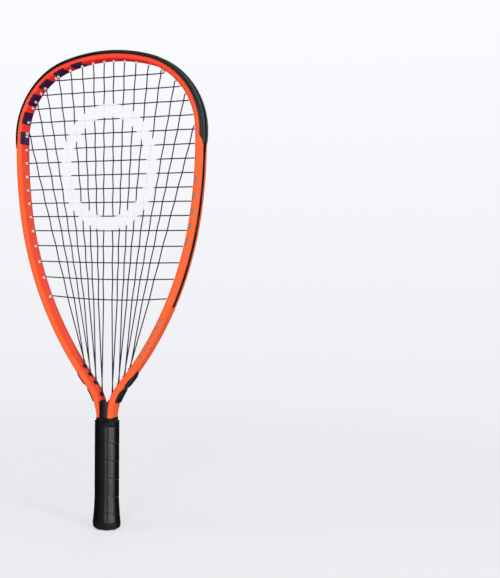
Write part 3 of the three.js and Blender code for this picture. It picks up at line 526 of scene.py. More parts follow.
    def loop(self, start, end, out, spread_start, spread_end):
        """A string's way round the outside of the hoop from one hole to the next."""
        steps = math.ceil(abs(end - start) * (1 - 2 * LOOP_END_SHARE) / LOOP_STEP)
        points = []
        for i in range(steps + 1):
            part = blend(LOOP_END_SHARE, 1 - LOOP_END_SHARE, i / steps)
            beam = blend(spread_start, spread_end, i / steps)
            points.append(self.at_hole(blend(start, end, part), out, beam))
        return points

    def bend(self, place, radius, thickness=1.0):
        """A point of a string's path, with the radius of its bend and its thickness there."""
        return {"at": place, "bend": radius, "thickness": thickness}

    def at_hole(self, reach, out, beam=0):
        """A bend beside a hole."""
        return self.bend(self.point(reach, out, beam), self.bed.hole_bend)

    def woven(self, places):
        """Bends over and under other strings."""
        return [self.bend(place, self.bed.weave_bend) for place in places]

    def knot(self, reach, out, beam, direction):
        """A string's end in the channel, swollen to its stopper knot."""
        bed = self.bed
        swell = bed.knot / bed.string
        lift = out + bed.knot / 2 - self.string
        shoulder = (bed.knot_run - bed.knot_length) / 2
        places = (
            (bed.knot_run, 1),
            (bed.knot_run - shoulder / 2, swell),
            (bed.knot_run - bed.knot_length / 2, swell),
            (bed.knot_run - bed.knot_length, swell),
            (bed.knot_run - bed.knot_length - shoulder / 2, 1),
        )
        return [
            self.bend(self.point(reach + direction * run, lift, beam), 0, thickness)
            for run, thickness in places
        ]

    def main_path(self, side):
        """One half of the mains, down and up through the bed."""
        path = []
        for main in self.mains:
            rising = main["index"] % 2 == 0
            beam = side * (self.spread if rising else -self.spread)
            low, high = side * main["throat"], side * main["head"]
            crossed = [c for c in self.crossings if c["main"] == main["index"]]
            crossed.sort(key=lambda c: c["z"])
            run = [self.at_hole(low, out, beam) for out in (self.throat_out, self.throat_mouth)]
            run += self.woven(Vector((side * c["x"], side * c["main_beam"], c["z"])) for c in crossed)
            run += [self.at_hole(high, out) for out in (self.mouth, self.head_out)]
            path += run if rising else run[::-1]
            if main["index"] + 1 < len(self.mains):
                following = self.mains[main["index"] + 1]
                if rising:
                    spread = -self.loop_spread
                    path += self.loop(high, side * following["head"], self.head_out, spread, spread)
                else:
                    path += self.loop(low, side * following["throat"], self.throat_out, beam, -beam)
        lowest, highest = side * self.throat_reaches[0], side * self.throat_reaches[-1]
        start = self.knot(lowest, self.throat_out, side * self.spread, side)
        end = self.knot(highest, self.throat_out, -side * self.spread, -side)
        return start + path + end[::-1]

    def cross_path(self):
        """The crosses, from side to side down the bed."""
        spread = self.loop_spread
        path = []
        for k, cross in enumerate(self.crosses):
            side = -1 if k % 2 else 1
            here = [c for c in self.crossings if c["k"] == k and c["cross_beam"] != 0]
            right = sorted((Vector((c["x"], c["cross_beam"], c["z"])) for c in here), key=lambda p: p.x)
            left = [Vector((-p.x, -p.y, p.z)) for p in reversed(right)]
            reach = cross["reach"]
            run = [self.at_hole(-reach, out) for out in (self.head_out, self.mouth)]
            run += self.woven(left + right)
            run += [self.at_hole(reach, out) for out in (self.mouth, self.head_out)]
            path += run if side > 0 else run[::-1]
            if k + 1 < len(self.crosses):
                following = side * self.crosses[k + 1]["reach"]
                path += self.loop(side * reach, following, self.head_out, spread, spread)
        end_side = 1 if len(self.crosses) % 2 else -1
        start = self.knot(-self.crosses[0]["reach"], self.head_out, spread, 1)
        end = self.knot(end_side * self.crosses[-1]["reach"], self.head_out, spread, end_side)
        return start + path + end[::-1]

    def grip_half(self, level):
        """Half width of the wrapped grip at a level."""
        handle = self.handle
        part = max(0, handle.flare_top - level) / (handle.flare_top - handle.cap_lip - self.gap)
        return handle.grip_half + handle.flare * part**FLARE_POWER

    def under_wrap(self, level):
        return self.grip_half(level) - self.handle.wrap - self.gap


# Meshes


def new_object(name, mesh):
    item = bpy.data.objects.new(name, mesh)
    bpy.context.scene.collection.objects.link(item)
    return item


def object_from(name, work):
    """A new object from a bmesh, which is freed."""
    mesh = bpy.data.meshes.new(name)
    work.to_mesh(mesh)
    work.free()
    return new_object(name, mesh)


def mesh_from(name, points, edges=(), faces=()):
    mesh = bpy.data.meshes.new(name)
    mesh.from_pydata([tuple(point) for point in points], list(edges), [tuple(face) for face in faces])
    mesh.update()
    return mesh


def note(mesh, name, values, kind="FLOAT"):
    """Keeps a value for each point of a mesh, in place of an older one of the same name."""
    older = mesh.attributes.get(name)
    if older:
        mesh.attributes.remove(older)
    key = "value" if kind == "FLOAT" else "vector"
    mesh.attributes.new(name, kind, "POINT").data.foreach_set(key, values)


def drop(*items):
    """Removes helper objects and their meshes."""
    for item in items:
        mesh = item.data
        bpy.data.objects.remove(item)
        bpy.data.meshes.remove(mesh)


def smooth(mesh, sharp_degrees=32):
    """Smooth shading with sharp edges over an angle, and faces that point out."""
    work = bmesh.new()
    work.from_mesh(mesh)
    bmesh.ops.recalc_face_normals(work, faces=work.faces)
    for face in work.faces:
        face.smooth = True
    for edge in work.edges:
        if len(edge.link_faces) == 2:
            edge.smooth = edge.calc_face_angle(0) < math.radians(sharp_degrees)
    work.to_mesh(mesh)
    work.free()
    return mesh


def ring_faces(rings, count, closed):
    """Quads between rings of points, and the two end caps of a loft that isn't closed on itself."""
    faces = []
    for ring in range(rings if closed else rings - 1):
        here, after = ring * count, (ring + 1) % rings * count
        for i in range(count):
            j = (i + 1) % count
            faces.append((here + i, here + j, after + j, after + i))
    if not closed:
        faces.append(tuple(reversed(range(count))))
        faces.append(tuple(range((rings - 1) * count, rings * count)))
    return faces


def loft(name, rings, closed=False):
    """A skin over rings with equal counts of points."""
    points = [point for ring in rings for point in ring]
    return mesh_from(name, points, faces=ring_faces(len(rings), len(rings[0]), closed))


def octagon(half, angle, sharpness=OCTAGON_SHARPNESS):
    """Distance from the axis to a softly cornered octagon with a flat towards each axis."""
    total = 0
    for k in range(8):
        total += max(0, math.cos(angle - k * math.pi / 4)) ** sharpness
    return half / total ** (1 / sharpness)


def eight(half, sharpness=OCTAGON_SHARPNESS):
    """An octagon as the distance from the axis at each angle."""
    return lambda angle: octagon(half, angle, sharpness)


def circle(radius):
    """A circle as the distance from the axis at each angle."""
    return lambda angle: radius


def rounded_box(half_x, half_y, sharpness=7.4):
    """A box with rounded corners as the distance from the axis at each angle."""

    def distance(angle):
        across, through = abs(math.cos(angle) / half_x), abs(math.sin(angle) / half_y)
        return (across**sharpness + through**sharpness) ** (-1 / sharpness)

    return distance


def turned(name, profile, segments=96):
    """A closed body round the long axis. Each profile point is a level and a distance by angle."""
    rings = []
    for i in range(segments):
        angle = 2 * math.pi * i / segments
        ring = []
        for level, distance in profile:
            radius = distance(angle)
            ring.append((radius * math.cos(angle), radius * math.sin(angle), level))
        rings.append(ring)
    return loft(name, rings, closed=True)


def arc(centre_x, centre_y, radius, start, end, steps):
    """Points of an arc, with angles in degrees."""
    points = []
    for i in range(steps + 1):
        angle = math.radians(blend(start, end, i / steps))
        points.append((centre_x + radius * math.cos(angle), centre_y + radius * math.sin(angle)))
    return points


def rounded_section(half_beam, half_out, radius, steps=6):
    """A rounded rectangle, beam by out."""
    x, y = half_beam - radius, half_out - radius
    return (
        arc(x, y, radius, 0, 90, steps)
        + arc(-x, y, radius, 90, 180, steps)
        + arc(-x, -y, radius, 180, 270, steps)
        + arc(x, -y, radius, 270, 360, steps)
    )


def outline_object(points):
    """A closed outline, as the section of a sweep."""
    count = len(points)
    edges = [(i, (i + 1) % count) for i in range(count)]
    return new_object("section", mesh_from("section", [(x, y, 0) for x, y in points], edges))


def mirrored(points):
    """An outline's right half with the left half that follows it."""
    return points + [(-x, y) for x, y in reversed(points)]


def path_object(layout, low, high):
    """A stretch of the hoop's centre line, with each point's distance from the crown."""
    steps = max(1, math.ceil((high - low) / layout.hoop.facet))
    reaches = [blend(low, high, i / steps) for i in range(steps + 1)]
    points = [layout.point(reach) for reach in reaches]
    mesh = mesh_from("path", points, [(i, i + 1) for i in range(steps)])
    note(mesh, "reach", reaches)
    return new_object("path", mesh)


# Geometry Nodes


def lay_node(tree, kind, settings=None, values=None):
    """A node with its settings, and the values or links of its sockets."""
    node = tree.nodes.new(kind)
    for key, setting in (settings or {}).items():
        setattr(node, key, setting)
    for key, value in (values or {}).items():
        socket = node.inputs[key]
        if isinstance(value, bpy.types.NodeSocket):
            tree.links.new(value, socket)
        elif socket.type == "RGBA":
            socket.default_value = (*value[:3], 1)
        else:
            socket.default_value = value
    return node


class Recipe:
    """A Geometry Nodes tree while it is laid out."""

    def __init__(self, name):
        self.tree = bpy.data.node_groups.new(name, "GeometryNodeTree")
        self.tree.interface.new_socket("Geometry", in_out="INPUT", socket_type="NodeSocketGeometry")
        self.tree.interface.new_socket("Geometry", in_out="OUTPUT", socket_type="NodeSocketGeometry")
        self.entry = self.tree.nodes.new("NodeGroupInput")
        self.start = self.entry.outputs[0]

    def ask(self, name, kind):
        """A named input of the tree."""
        self.tree.interface.new_socket(name, in_out="INPUT", socket_type="NodeSocket" + kind)
        return self.entry.outputs[name]

    def node(self, kind, settings=None, output=0, **values):
        """One output of a node. An underscore in a socket's name stands for a space."""
        values = {key.replace("_", " "): value for key, value in values.items()}
        return lay_node(self.tree, kind, settings, values).outputs[output]

    def attribute(self, name, kind="FLOAT"):
        return self.node("GeometryNodeInputNamedAttribute", {"data_type": kind}, Name=name)

    def shape(self, name):
        """The geometry of an object that is a named input."""
        return self.node("GeometryNodeObjectInfo", output="Geometry", Object=self.ask(name, "Object"))

    def curve(self, mesh):
        return self.node("GeometryNodeMeshToCurve", Mesh=mesh)

    def aim(self):
        """Turns the Z axis of an instance along its point's aim."""
        aim = self.attribute("aim", "FLOAT_VECTOR")
        return self.node("FunctionNodeAlignRotationToVector", {"axis": "Z"}, Vector=aim)

    def store(self, geometry, name, value):
        """Keeps a value on the points, for the material."""
        settings = {"data_type": "FLOAT", "domain": "POINT"}
        return self.node(
            "GeometryNodeStoreNamedAttribute", settings, Geometry=geometry, Name=name, Value=value
        )

    def unite(self, kind, socket, bodies, settings=None):
        """A node that takes several bodies in one socket."""
        node = lay_node(self.tree, kind, settings)
        for body in bodies:
            self.tree.links.new(body, node.inputs[socket])
        return node

    def finish(self, geometry):
        """Ends the tree with plain geometry in one material."""
        material = self.ask("Material", "Material")
        real = self.node("GeometryNodeRealizeInstances", Geometry=geometry)
        dressed = self.node("GeometryNodeSetMaterial", Geometry=real, Material=material)
        self.tree.links.new(dressed, self.tree.nodes.new("NodeGroupOutput").inputs[0])
        return self


def grow(name, helper, recipe, inputs):
    """Runs a tree on a helper object and returns its result as a plain mesh object."""
    modifier = helper.modifiers.new(recipe.tree.name, "NODES")
    modifier.node_group = recipe.tree
    for item in recipe.tree.interface.items_tree:
        if item.in_out == "INPUT" and item.name in inputs:
            modifier[item.identifier] = inputs[item.name]
    bpy.context.view_layer.update()
    depsgraph = bpy.context.evaluated_depsgraph_get()
    mesh = bpy.data.meshes.new_from_object(helper.evaluated_get(depsgraph))
    helper.modifiers.remove(modifier)
    if not mesh.polygons:
        raise RuntimeError(f"{name} came out empty")
    mesh.name = name
    return new_object(name, mesh)


def sweep_recipe():
    """Sweeps a section along a path that lies in the plane of the strings."""
    recipe = Recipe("Sweep along the hoop")
    path = recipe.curve(recipe.start)
    held = recipe.node("GeometryNodeSetCurveNormal", {"mode": "FREE"}, Curve=path, Normal=(0, 1, 0))
    place = recipe.node("GeometryNodeInputPosition")
    out = recipe.node("ShaderNodeSeparateXYZ", output="Y", Vector=place)
    outline = recipe.store(recipe.curve(recipe.shape("Section")), "out", out)
    return recipe.finish(
        recipe.node("GeometryNodeCurveToMesh", Curve=held, Profile_Curve=outline, Fill_Caps=True)
    )


def drill_recipe():
    """Takes cutting bodies and a round hole at each hole point out of a body."""
    recipe = Recipe("Drill the hoop")
    bodies, ends, points = recipe.shape("Cuts"), recipe.shape("Trim"), recipe.shape("Holes")
    depth, radius = recipe.ask("Drill length", "Float"), recipe.attribute("radius")
    drill = recipe.node("GeometryNodeMeshCylinder", output="Mesh", Vertices=20, Radius=1.0, Depth=1.0)
    size = recipe.node("ShaderNodeCombineXYZ", X=radius, Y=radius, Z=depth)
    drills = recipe.node(
        "GeometryNodeInstanceOnPoints", Points=points, Instance=drill, Rotation=recipe.aim(), Scale=size
    )
    solid = recipe.node("GeometryNodeRealizeInstances", Geometry=drills)
    settings = {"operation": "DIFFERENCE", "solver": "EXACT"}
    cut = recipe.unite("GeometryNodeMeshBoolean", "Mesh 2", (solid, bodies, ends), settings)
    recipe.tree.links.new(recipe.start, cut.inputs["Mesh 1"])
    return recipe.finish(cut.outputs[0])


def barrel_recipe():
    """Sets a barrel in each hole and joins them to a strip."""
    recipe = Recipe("Grommet barrels")
    barrel = recipe.shape("Barrel")
    barrels = recipe.node(
        "GeometryNodeInstanceOnPoints", Points=recipe.start, Instance=barrel, Rotation=recipe.aim()
    )
    joined = recipe.unite("GeometryNodeJoinGeometry", 0, (barrels, recipe.shape("Strip")))
    return recipe.finish(joined.outputs[0])


def string_recipe():
    """Lays a round string along a path, bent at each of its points and swollen at its knots."""
    recipe = Recipe("String")
    radius, bend = recipe.ask("Radius", "Float"), recipe.attribute("bend")
    path = recipe.curve(recipe.start)
    bent = recipe.node(
        "GeometryNodeFilletCurve", {"mode": "POLY"}, Curve=path, Count=5, Radius=bend, Limit_Radius=True
    )
    measured = recipe.store(bent, "along", recipe.node("GeometryNodeSplineParameter", output="Length"))
    thickness = recipe.attribute("thickness")
    thick = recipe.node("GeometryNodeSetCurveRadius", Curve=measured, Radius=thickness)
    ring = recipe.node("GeometryNodeCurvePrimitiveCircle", Resolution=10, Radius=radius)
    marked = recipe.store(ring, "around", recipe.node("GeometryNodeSplineParameter", output="Factor"))
    tube = recipe.node(
        "GeometryNodeCurveToMesh", Curve=thick, Profile_Curve=marked, Scale=thickness, Fill_Caps=True
    )
    return recipe.finish(tube)


def trim_recipe():
    """Keeps what of a body lies inside another."""
    recipe = Recipe("Trim to length")
    settings = {"operation": "INTERSECT", "solver": "EXACT"}
    bodies = recipe.start, recipe.shape("Room")
    return recipe.finish(recipe.unite("GeometryNodeMeshBoolean", "Mesh 2", bodies, settings).outputs[0])


# Materials

# How softly a painted mark ends
MARK_EDGE = 0.25 * MM


class Value:
    """A shader socket that takes part in plain arithmetic."""

    def __init__(self, finish, socket):
        self.finish = finish
        self.socket = socket

    def maths(self, operation, first, second=0.0):
        return self.finish.maths(operation, first, second)

    def __add__(self, other):
        return self.maths("ADD", self, other)

    def __radd__(self, other):
        return self.maths("ADD", other, self)

    def __sub__(self, other):
        return self.maths("SUBTRACT", self, other)

    def __mul__(self, other):
        return self.maths("MULTIPLY", self, other)

    def __truediv__(self, other):
        return self.maths("DIVIDE", self, other)

    def __abs__(self):
        return self.maths("ABSOLUTE", self)

    def sine(self):
        return self.maths("SINE", self)


class Finish:
    """A procedural material while it is mixed."""

    def __init__(self, name, plain):
        self.material = bpy.data.materials.new(name)
        self.material.use_nodes = True
        self.tree = self.material.node_tree
        self.surface = self.tree.nodes["Principled BSDF"]
        for key, value in plain.items():
            self.surface.inputs[key].default_value = value

    def node(self, kind, settings=None, values=None, output=0):
        """One node: its settings, the values or links of its sockets, and the output that is used."""
        plain = {
            key: value.socket if isinstance(value, Value) else value
            for key, value in (values or {}).items()
        }
        return Value(self, lay_node(self.tree, kind, settings, plain).outputs[output])

    def maths(self, operation, first, second=0.0):
        return self.node("ShaderNodeMath", {"operation": operation}, {0: first, 1: second})

    def place(self):
        """The point on the piece, in metres."""
        return self.node("ShaderNodeTexCoord", output="Object")

    def part(self, vector, axis):
        return self.node("ShaderNodeSeparateXYZ", values={0: vector}, output=axis)

    def attribute(self, name):
        return self.node("ShaderNodeAttribute", {"attribute_name": name}, output="Fac")

    def noise(self, scale, detail=3.0, roughness=0.5, vector=None):
        place = vector or self.place()
        values = {"Scale": scale, "Detail": detail, "Roughness": roughness, "Vector": place}
        return self.node("ShaderNodeTexNoise", values=values)

    def cells(self, scale, vector=None):
        """Distance to the nearest point of a scattered set, for grain."""
        values = {"Scale": scale, "Vector": vector or self.place()}
        return self.node("ShaderNodeTexVoronoi", {"feature": "F1"}, values)

    def mix(self, factor, first, second):
        """A colour between two colours."""
        values = {0: factor, 6: first, 7: second}
        return self.node("ShaderNodeMix", {"data_type": "RGBA"}, values, output=2)

    def smooth_step(self, value, low, high):
        """From 0 to 1 as the value passes from low to high."""
        settings = {"interpolation_type": "SMOOTHSTEP", "clamp": True}
        values = {"Value": value, "From Min": low, "From Max": high}
        return self.node("ShaderNodeMapRange", settings, values)

    def band(self, value, low, high, edge):
        """1 where a value lies between two others, 0 elsewhere."""
        rise = self.smooth_step(value, low - edge, low + edge)
        return rise * self.smooth_step(value, high + edge, high - edge)

    def dashes(self, along, low, high, count, filled):
        """A row of equal bars between two distances, each filling a share of its room."""
        room = (high - low) / (count - 1 + filled)
        past = self.maths("FLOORED_MODULO", along - low, room)
        bars = self.band(past, MARK_EDGE, room * filled, MARK_EDGE)
        return bars * self.band(along, low, high, MARK_EDGE)

    def bump(self, height, distance, strength=1.0, under=None):
        values = {"Height": height, "Distance": distance, "Strength": strength}
        if under is not None:
            values["Normal"] = under
        return self.node("ShaderNodeBump", values=values)

    def apply(self, **sockets):
        """Links the finish's varying values to the surface."""
        for key, value in sockets.items():
            self.tree.links.new(value.socket, self.surface.inputs[key.replace("_", " ").title()])
        return self.material


def tint(colour, factor):
    return tuple(min(1.0, channel * factor) for channel in colour)


def lacquer(colours, layout):
    """Glossy lacquer, orange below and redder towards the crown, with painted shade that turns the inner
    wall redder, and plain marks.
    """
    plain = {"Specular IOR Level": 0.08, "Specular Tint": (1, 0.6, 0.5, 1)}
    finish = Finish("orange_lacquer", plain)
    level = finish.part(finish.place(), "Z")
    reach = finish.attribute("reach")
    out = finish.attribute("out")
    beam = finish.part(finish.place(), "Y")
    cloud = finish.noise(14, 2)
    height = finish.smooth_step(level + cloud * 0.02, layout.bumper_tail - 0.01, layout.crown)
    # Painted shade: the inner wall is mixed towards the red, as it looks in shade.
    inside = finish.smooth_step(out, -0.4 * layout.half, -0.95 * layout.half)
    red_fade_and_shade = height * 0.55 + inside * 0.5
    body = finish.mix(finish.smooth_step(red_fade_and_shade, 0, 1), colours.orange, colours.red)
    fleck = finish.noise(900, 2, 0.7)
    body = finish.mix(finish.smooth_step(fleck, 0.62, 0.8) * 0.25, body, tint(colours.orange, 1.5))
    face = finish.smooth_step(abs(beam), layout.beam - 1.6 * MM, layout.beam - 1 * MM)
    for row in mark_rows(layout):
        marks = finish.dashes(reach + out * row["slant"], *row["along"], row["count"], row["filled"])
        marks = marks * finish.band(out, *row["across"], MARK_EDGE)
        if row["face_only"]:
            marks = marks * face
        body = finish.mix(marks * row["strength"], body, getattr(colours, row["colour"]))
    wear = finish.noise(45, 5, 0.65)
    rough = 0.34 + finish.smooth_step(wear, 0.4, 0.75) * 0.1
    ripple = finish.bump(finish.noise(260, 2), 0.05 * MM, 0.35)
    grain = finish.bump(fleck, 0.02 * MM, 0.3, ripple)
    return finish.apply(base_color=body, roughness=rough, normal=grain)


def mark_rows(layout):
    """Rows of equal plain bars on the lacquer: where along the hoop and where across the tube."""
    step = layout.crosses[3]["reach"] - layout.crosses[2]["reach"]
    shoulder, side, leg = layout.crosses[2]["reach"], layout.bumper_reach, layout.guard_reach
    inner = -layout.half - 0.5 * MM
    keys = ("along", "across", "count", "filled", "slant", "face_only", "strength", "colour")
    shoulder_room = -shoulder - 2.5 * step, -shoulder + 4.9 * step
    side_room, leg_room = (side + 26 * MM, side + 105 * MM), (leg + 15 * MM, leg + 70 * MM)
    rows = (
        (shoulder_room, (inner, -1.9 * MM), 6, 0.64, 0, False, 0.95, "navy"),
        (side_room, (-3.2 * MM, 1.6 * MM), 5, 0.5, 0.6, True, 0.8, "grey"),
        (leg_room, (-2.2 * MM, 2.2 * MM), 6, 0.55, 0.8, True, 0.8, "grey"),
    )
    return [dict(zip(keys, row)) for row in rows]


def nylon(name, colour, wear=0.35):
    """Moulded nylon with fine grain and pale scuffs."""
    finish = Finish(name, {"Specular IOR Level": 0.22})
    grain = finish.noise(1500, 3, 0.6)
    scuff = finish.noise(70, 6, 0.72)
    mask = finish.smooth_step(scuff, 0.56, 0.78)
    body = finish.mix(mask * wear, colour, tint(colour, 2.4))
    rough = 0.36 + grain * 0.1 + mask * 0.1
    bump = finish.bump(grain, 0.04 * MM, 0.4)
    return finish.apply(base_color=body, roughness=rough, normal=bump)


def string_finish(colours, layout):
    """Smooth multi-strand string with a faint twist, with painted shade in its grooves and painted
    highlight on its ridges, and a plain painted ring.
    """
    finish = Finish("grey_string", {"Specular IOR Level": 0.15})
    along = finish.attribute("along")
    around = finish.attribute("around")
    place = finish.place()
    bed = layout.bed
    twist = (along * (2 * math.pi / bed.twist) + around * (2 * math.pi)).sine()
    fuzz = finish.noise(600, 3, 0.6)
    # Painted shade and highlight: the colour follows the twist's bump, darker in its grooves and paler
    # on its ridges.
    body = finish.mix(0.5 + twist * 0.5, tint(colours.string, 0.72), tint(colours.string, 1.15))
    body = finish.mix(fuzz * 0.4, body, tint(colours.string, 0.8))
    level = blend(layout.crown, layout.lowest_cross, bed.ring_share)
    x = finish.part(place, "X") / bed.ring_across
    z = (finish.part(place, "Z") - level) / bed.ring_up
    radius = finish.maths("SQRT", x * x + z * z)
    ring = finish.band(radius, 1 - bed.ring_band, 1 + bed.ring_band, 0.015)
    painted = finish.mix(ring * 0.93, body, colours.stencil)
    bump = finish.bump(twist, 0.03 * MM, 0.5)
    return finish.apply(base_color=painted, roughness=0.36 + fuzz * 0.12, normal=bump)


def grip_finish(colours):
    """Soft synthetic leather with a pebbled grain and faint creases."""
    finish = Finish("grip_foam", {"Specular IOR Level": 0.32})
    place = finish.place()
    pebble = finish.cells(900, place)
    crease = finish.noise(120, 5, 0.65, place)
    patch = finish.noise(28, 3, 0.6, place)
    pale, dark = tint(colours.grip, 1.25), tint(colours.grip, 0.8)
    body = finish.mix(finish.smooth_step(pebble, 0.1, 0.7), pale, dark)
    body = finish.mix(finish.smooth_step(patch, 0.45, 0.75) * 0.5, body, tint(colours.grip, 1.5))
    rough = 0.27 + pebble * 0.06 + patch * 0.08
    creased = finish.bump(crease, 0.14 * MM, 0.4)
    grained = finish.bump(pebble, 0.05 * MM, 0.4, creased)
    return finish.apply(base_color=body, roughness=rough, normal=grained)


def rubber(name, colour, rough_low=0.42):
    """Moulded rubber, slightly polished where it is handled."""
    finish = Finish(name, {"Specular IOR Level": 0.14})
    handled = finish.noise(40, 4, 0.6)
    grain = finish.noise(1100, 3, 0.6)
    body = finish.mix(finish.smooth_step(handled, 0.4, 0.7), colour, tint(colour, 1.35))
    bump = finish.bump(grain, 0.04 * MM, 0.4)
    return finish.apply(base_color=body, roughness=rough_low + handled * 0.18, normal=bump)


def foam(name, colour):
    """Closed-cell foam with small open pores, painted darker in their pits as painted shade."""
    finish = Finish(name, {"IOR": 1.45})
    pores = finish.cells(700)
    # Painted shade: the pits of the pores, where the bump sinks, are darker.
    body = finish.mix(finish.smooth_step(pores, 0.2, 0.6), tint(colour, 0.7), colour)
    bump = finish.bump(pores, 0.15 * MM, 0.6)
    return finish.apply(base_color=body, roughness=0.8 + pores * 0.1, normal=bump)


# Pieces


def settle(piece, slot, *nodes):
    """Gives a finished piece its body and hides the construction nodes it stands for. Its slot is not
    used.
    """
    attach(piece, "root")
    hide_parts(*nodes)
    return piece


def settle_mesh(name, mesh, material, slot, *nodes):
    """A finished mesh as a piece in one material."""
    piece = new_object(name, mesh)
    piece.data.materials.append(material)
    return settle(piece, slot, *nodes)


def point_cloud(layout, reaches, out, radius):
    """One point for each hole, with the way it faces and its radius."""
    mesh = mesh_from("holes", [layout.point(reach, out) for reach in reaches])
    note(mesh, "aim", [value for reach in reaches for value in layout.outward(reach)], "FLOAT_VECTOR")
    note(mesh, "radius", radius)
    return new_object("holes", mesh)


def swept(layout, name, section, low, high, material=None):
    """A section swept along a stretch of the hoop."""
    path, outline = path_object(layout, low, high), outline_object(section)
    made = grow(name, path, sweep_recipe(), {"Section": outline, "Material": material})
    drop(path, outline)
    return made


def joined(name, items):
    """Several mesh objects as one."""
    work = bmesh.new()
    for item in items:
        work.from_mesh(item.data)
    drop(*items)
    return object_from(name, work)


def throat_stretch(layout, side, margin):
    """From beyond the lowest throat hole to beyond the highest, by a margin."""
    return ordered(side, layout.throat_reaches[0] + margin, layout.throat_reaches[-1] - margin)


def guard_stretch(layout, side):
    """From the bumper's end to the side guard's end."""
    return ordered(side, layout.bumper_reach + layout.gap / 2, layout.guard_reach - layout.gap)


def groove_section(layout):
    """What is cut for the groove, flared at the top so that its lips come out rounded."""
    half, lip, top = layout.hoop.groove / 2, layout.hoop.lip, layout.half
    right = [(half, layout.groove)]
    right += [(half + lip - x, y) for x, y in arc(0, top - lip, lip, 0, 90, 4)]
    return mirrored(right + [(half + lip, top + 2 * MM)])


def note_places(layout, mesh):
    """Gives each point its distance along the hoop and out from it, for the marks on the lacquer and its
    painted shade on the inner wall.
    """
    places = [layout.locate(point.co.x, point.co.z) for point in mesh.vertices]
    note(mesh, "reach", [reach for reach, _ in places])
    note(mesh, "out", [out for _, out in places])


def build_hoop(scene):
    """The hoop: a rounded tube, grooved round the outside, drilled, and trimmed in the handle."""
    layout = Layout(scene)
    reach = layout.leg_reach
    section = rounded_section(layout.beam, layout.half, layout.hoop.corner)
    tube = swept(layout, "tube", section, -reach, reach)
    grooves = [swept(layout, "groove", groove_section(layout), -layout.guard_reach, layout.guard_reach)]
    for _, side in SIDES:
        low, high = throat_stretch(layout, side, layout.throat_margin)
        grooves.append(swept(layout, "groove", groove_section(layout), low, high))
    cuts = joined("cuts", grooves)
    below, above = layout.leg_end - 3 * MM, layout.shaft_foot
    wide = layout.hoop.beam
    tenon = eight(layout.tenon_half)
    profile = [(below, tenon), (above, tenon), (above, circle(wide)), (below, circle(wide))]
    trim = new_object("trim", smooth(turned("trim", profile)))
    head = layout.head_holes(-layout.guard_reach, layout.guard_reach)
    throat = [side * r for r in layout.throat_reaches for side in (-1, 1)]
    head_radius = layout.bore + layout.guard.wall + layout.gap
    throat_radius = layout.spread + head_radius
    radii = [head_radius] * len(head) + [throat_radius] * len(throat)
    holes = point_cloud(layout, head + throat, 0, radii)
    material = lacquer(scene.racket_colours, layout)
    inputs = {
        "Cuts": cuts,
        "Trim": trim,
        "Holes": holes,
        "Drill length": layout.hoop.width + 4 * MM,
        "Material": material,
    }
    piece = grow("hoop", tube, drill_recipe(), inputs)
    drop(tube, cuts, trim, holes)
    note_places(layout, piece.data)
    smooth(piece.data, 30)
    return settle(piece, "orange_lacquer", "frame")


def barrel_mesh(outer, inner, foot, nose, lean=0.0):
    """A barrel round the Z axis, from its root to its rounded nose, which is cut aslant by the lean."""
    tip = (outer - inner) / 2
    profile = [(foot, outer, 0), (nose + tip, outer, 1)]
    middle = (outer + inner) / 2
    for x, z in arc(middle, nose + tip, tip, 0, -180, 4)[1:]:
        profile.append((z, x, 1))
    profile.append((foot, inner, 0))
    rings = []
    for i in range(16):
        angle = 2 * math.pi * i / 16
        ring = []
        for level, radius, cut in profile:
            x = radius * math.cos(angle)
            ring.append((x, radius * math.sin(angle), level + cut * (abs(lean) * outer - lean * x)))
        rings.append(ring)
    return new_object("barrel", smooth(loft("barrel", rings, closed=True), 40))


def grommet_strip(layout, name, low, high, reaches, outer, inner, nose, material, lean=0.0):
    """A strip on the groove's floor with a barrel through each hole."""
    half = (layout.hoop.groove / 2 - layout.gap, layout.guard.strip / 2)
    middle = layout.strip_bottom + half[1]
    section = [(x, y + middle) for x, y in rounded_section(half[0], half[1], 0.2 * MM, 2)]
    base = swept(layout, "strip", section, low, high)
    barrel = barrel_mesh(outer, inner, layout.strip_bottom + half[1], nose, lean)
    holes = point_cloud(layout, reaches, 0, [outer] * len(reaches))
    piece = grow(name, holes, barrel_recipe(), {"Barrel": barrel, "Strip": base, "Material": material})
    drop(base, barrel, holes)
    smooth(piece.data, 40)
    return piece


def build_grommets(scene):
    """White strips round the head, and black ones in the throat."""
    layout = Layout(scene)
    colours = scene.racket_colours
    white = nylon("white_nylon", colours.barrel, 0)
    black = nylon("throat_nylon", colours.nylon)
    outer, inner = layout.bore + layout.guard.wall, layout.bore
    end = layout.bumper_reach - layout.gap / 2
    nose, throat_nose = layout.nose_end, layout.throat_nose_end
    holes = layout.head_holes(-end, end)
    head = grommet_strip(layout, "head_grommets", -end, end, holes, outer, inner, nose, white)
    settle(head, "white_nylon", "head_grommet_strip")
    for name, side in SIDES:
        low, high = guard_stretch(layout, side)
        holes = layout.head_holes(low, high)
        title = f"side_grommets_{name}"
        strip = grommet_strip(layout, title, low, high, holes, outer, inner, nose, white)
        settle(strip, "white_nylon", f"side_grommet_strip_{name}")
        low, high = throat_stretch(layout, side, layout.throat_margin - layout.gap)
        holes = [side * reach for reach in layout.throat_reaches]
        wide, bore = outer + layout.spread, inner + layout.spread
        title = f"throat_grommets_{name}"
        lean = side * layout.guard.throat_lean
        strip = grommet_strip(layout, title, low, high, holes, wide, bore, throat_nose, black, lean)
        settle(strip, "black_nylon", f"throat_grommet_{name}")


def wing_share(layout, level):
    """How much of the bumper's wing there is at a level, from none to all."""
    start = layout.bumper_tail + layout.guard.wing_start
    tip = layout.bumper_tail + layout.guard.wing_tip
    return clamp((level - start) / (tip - start))


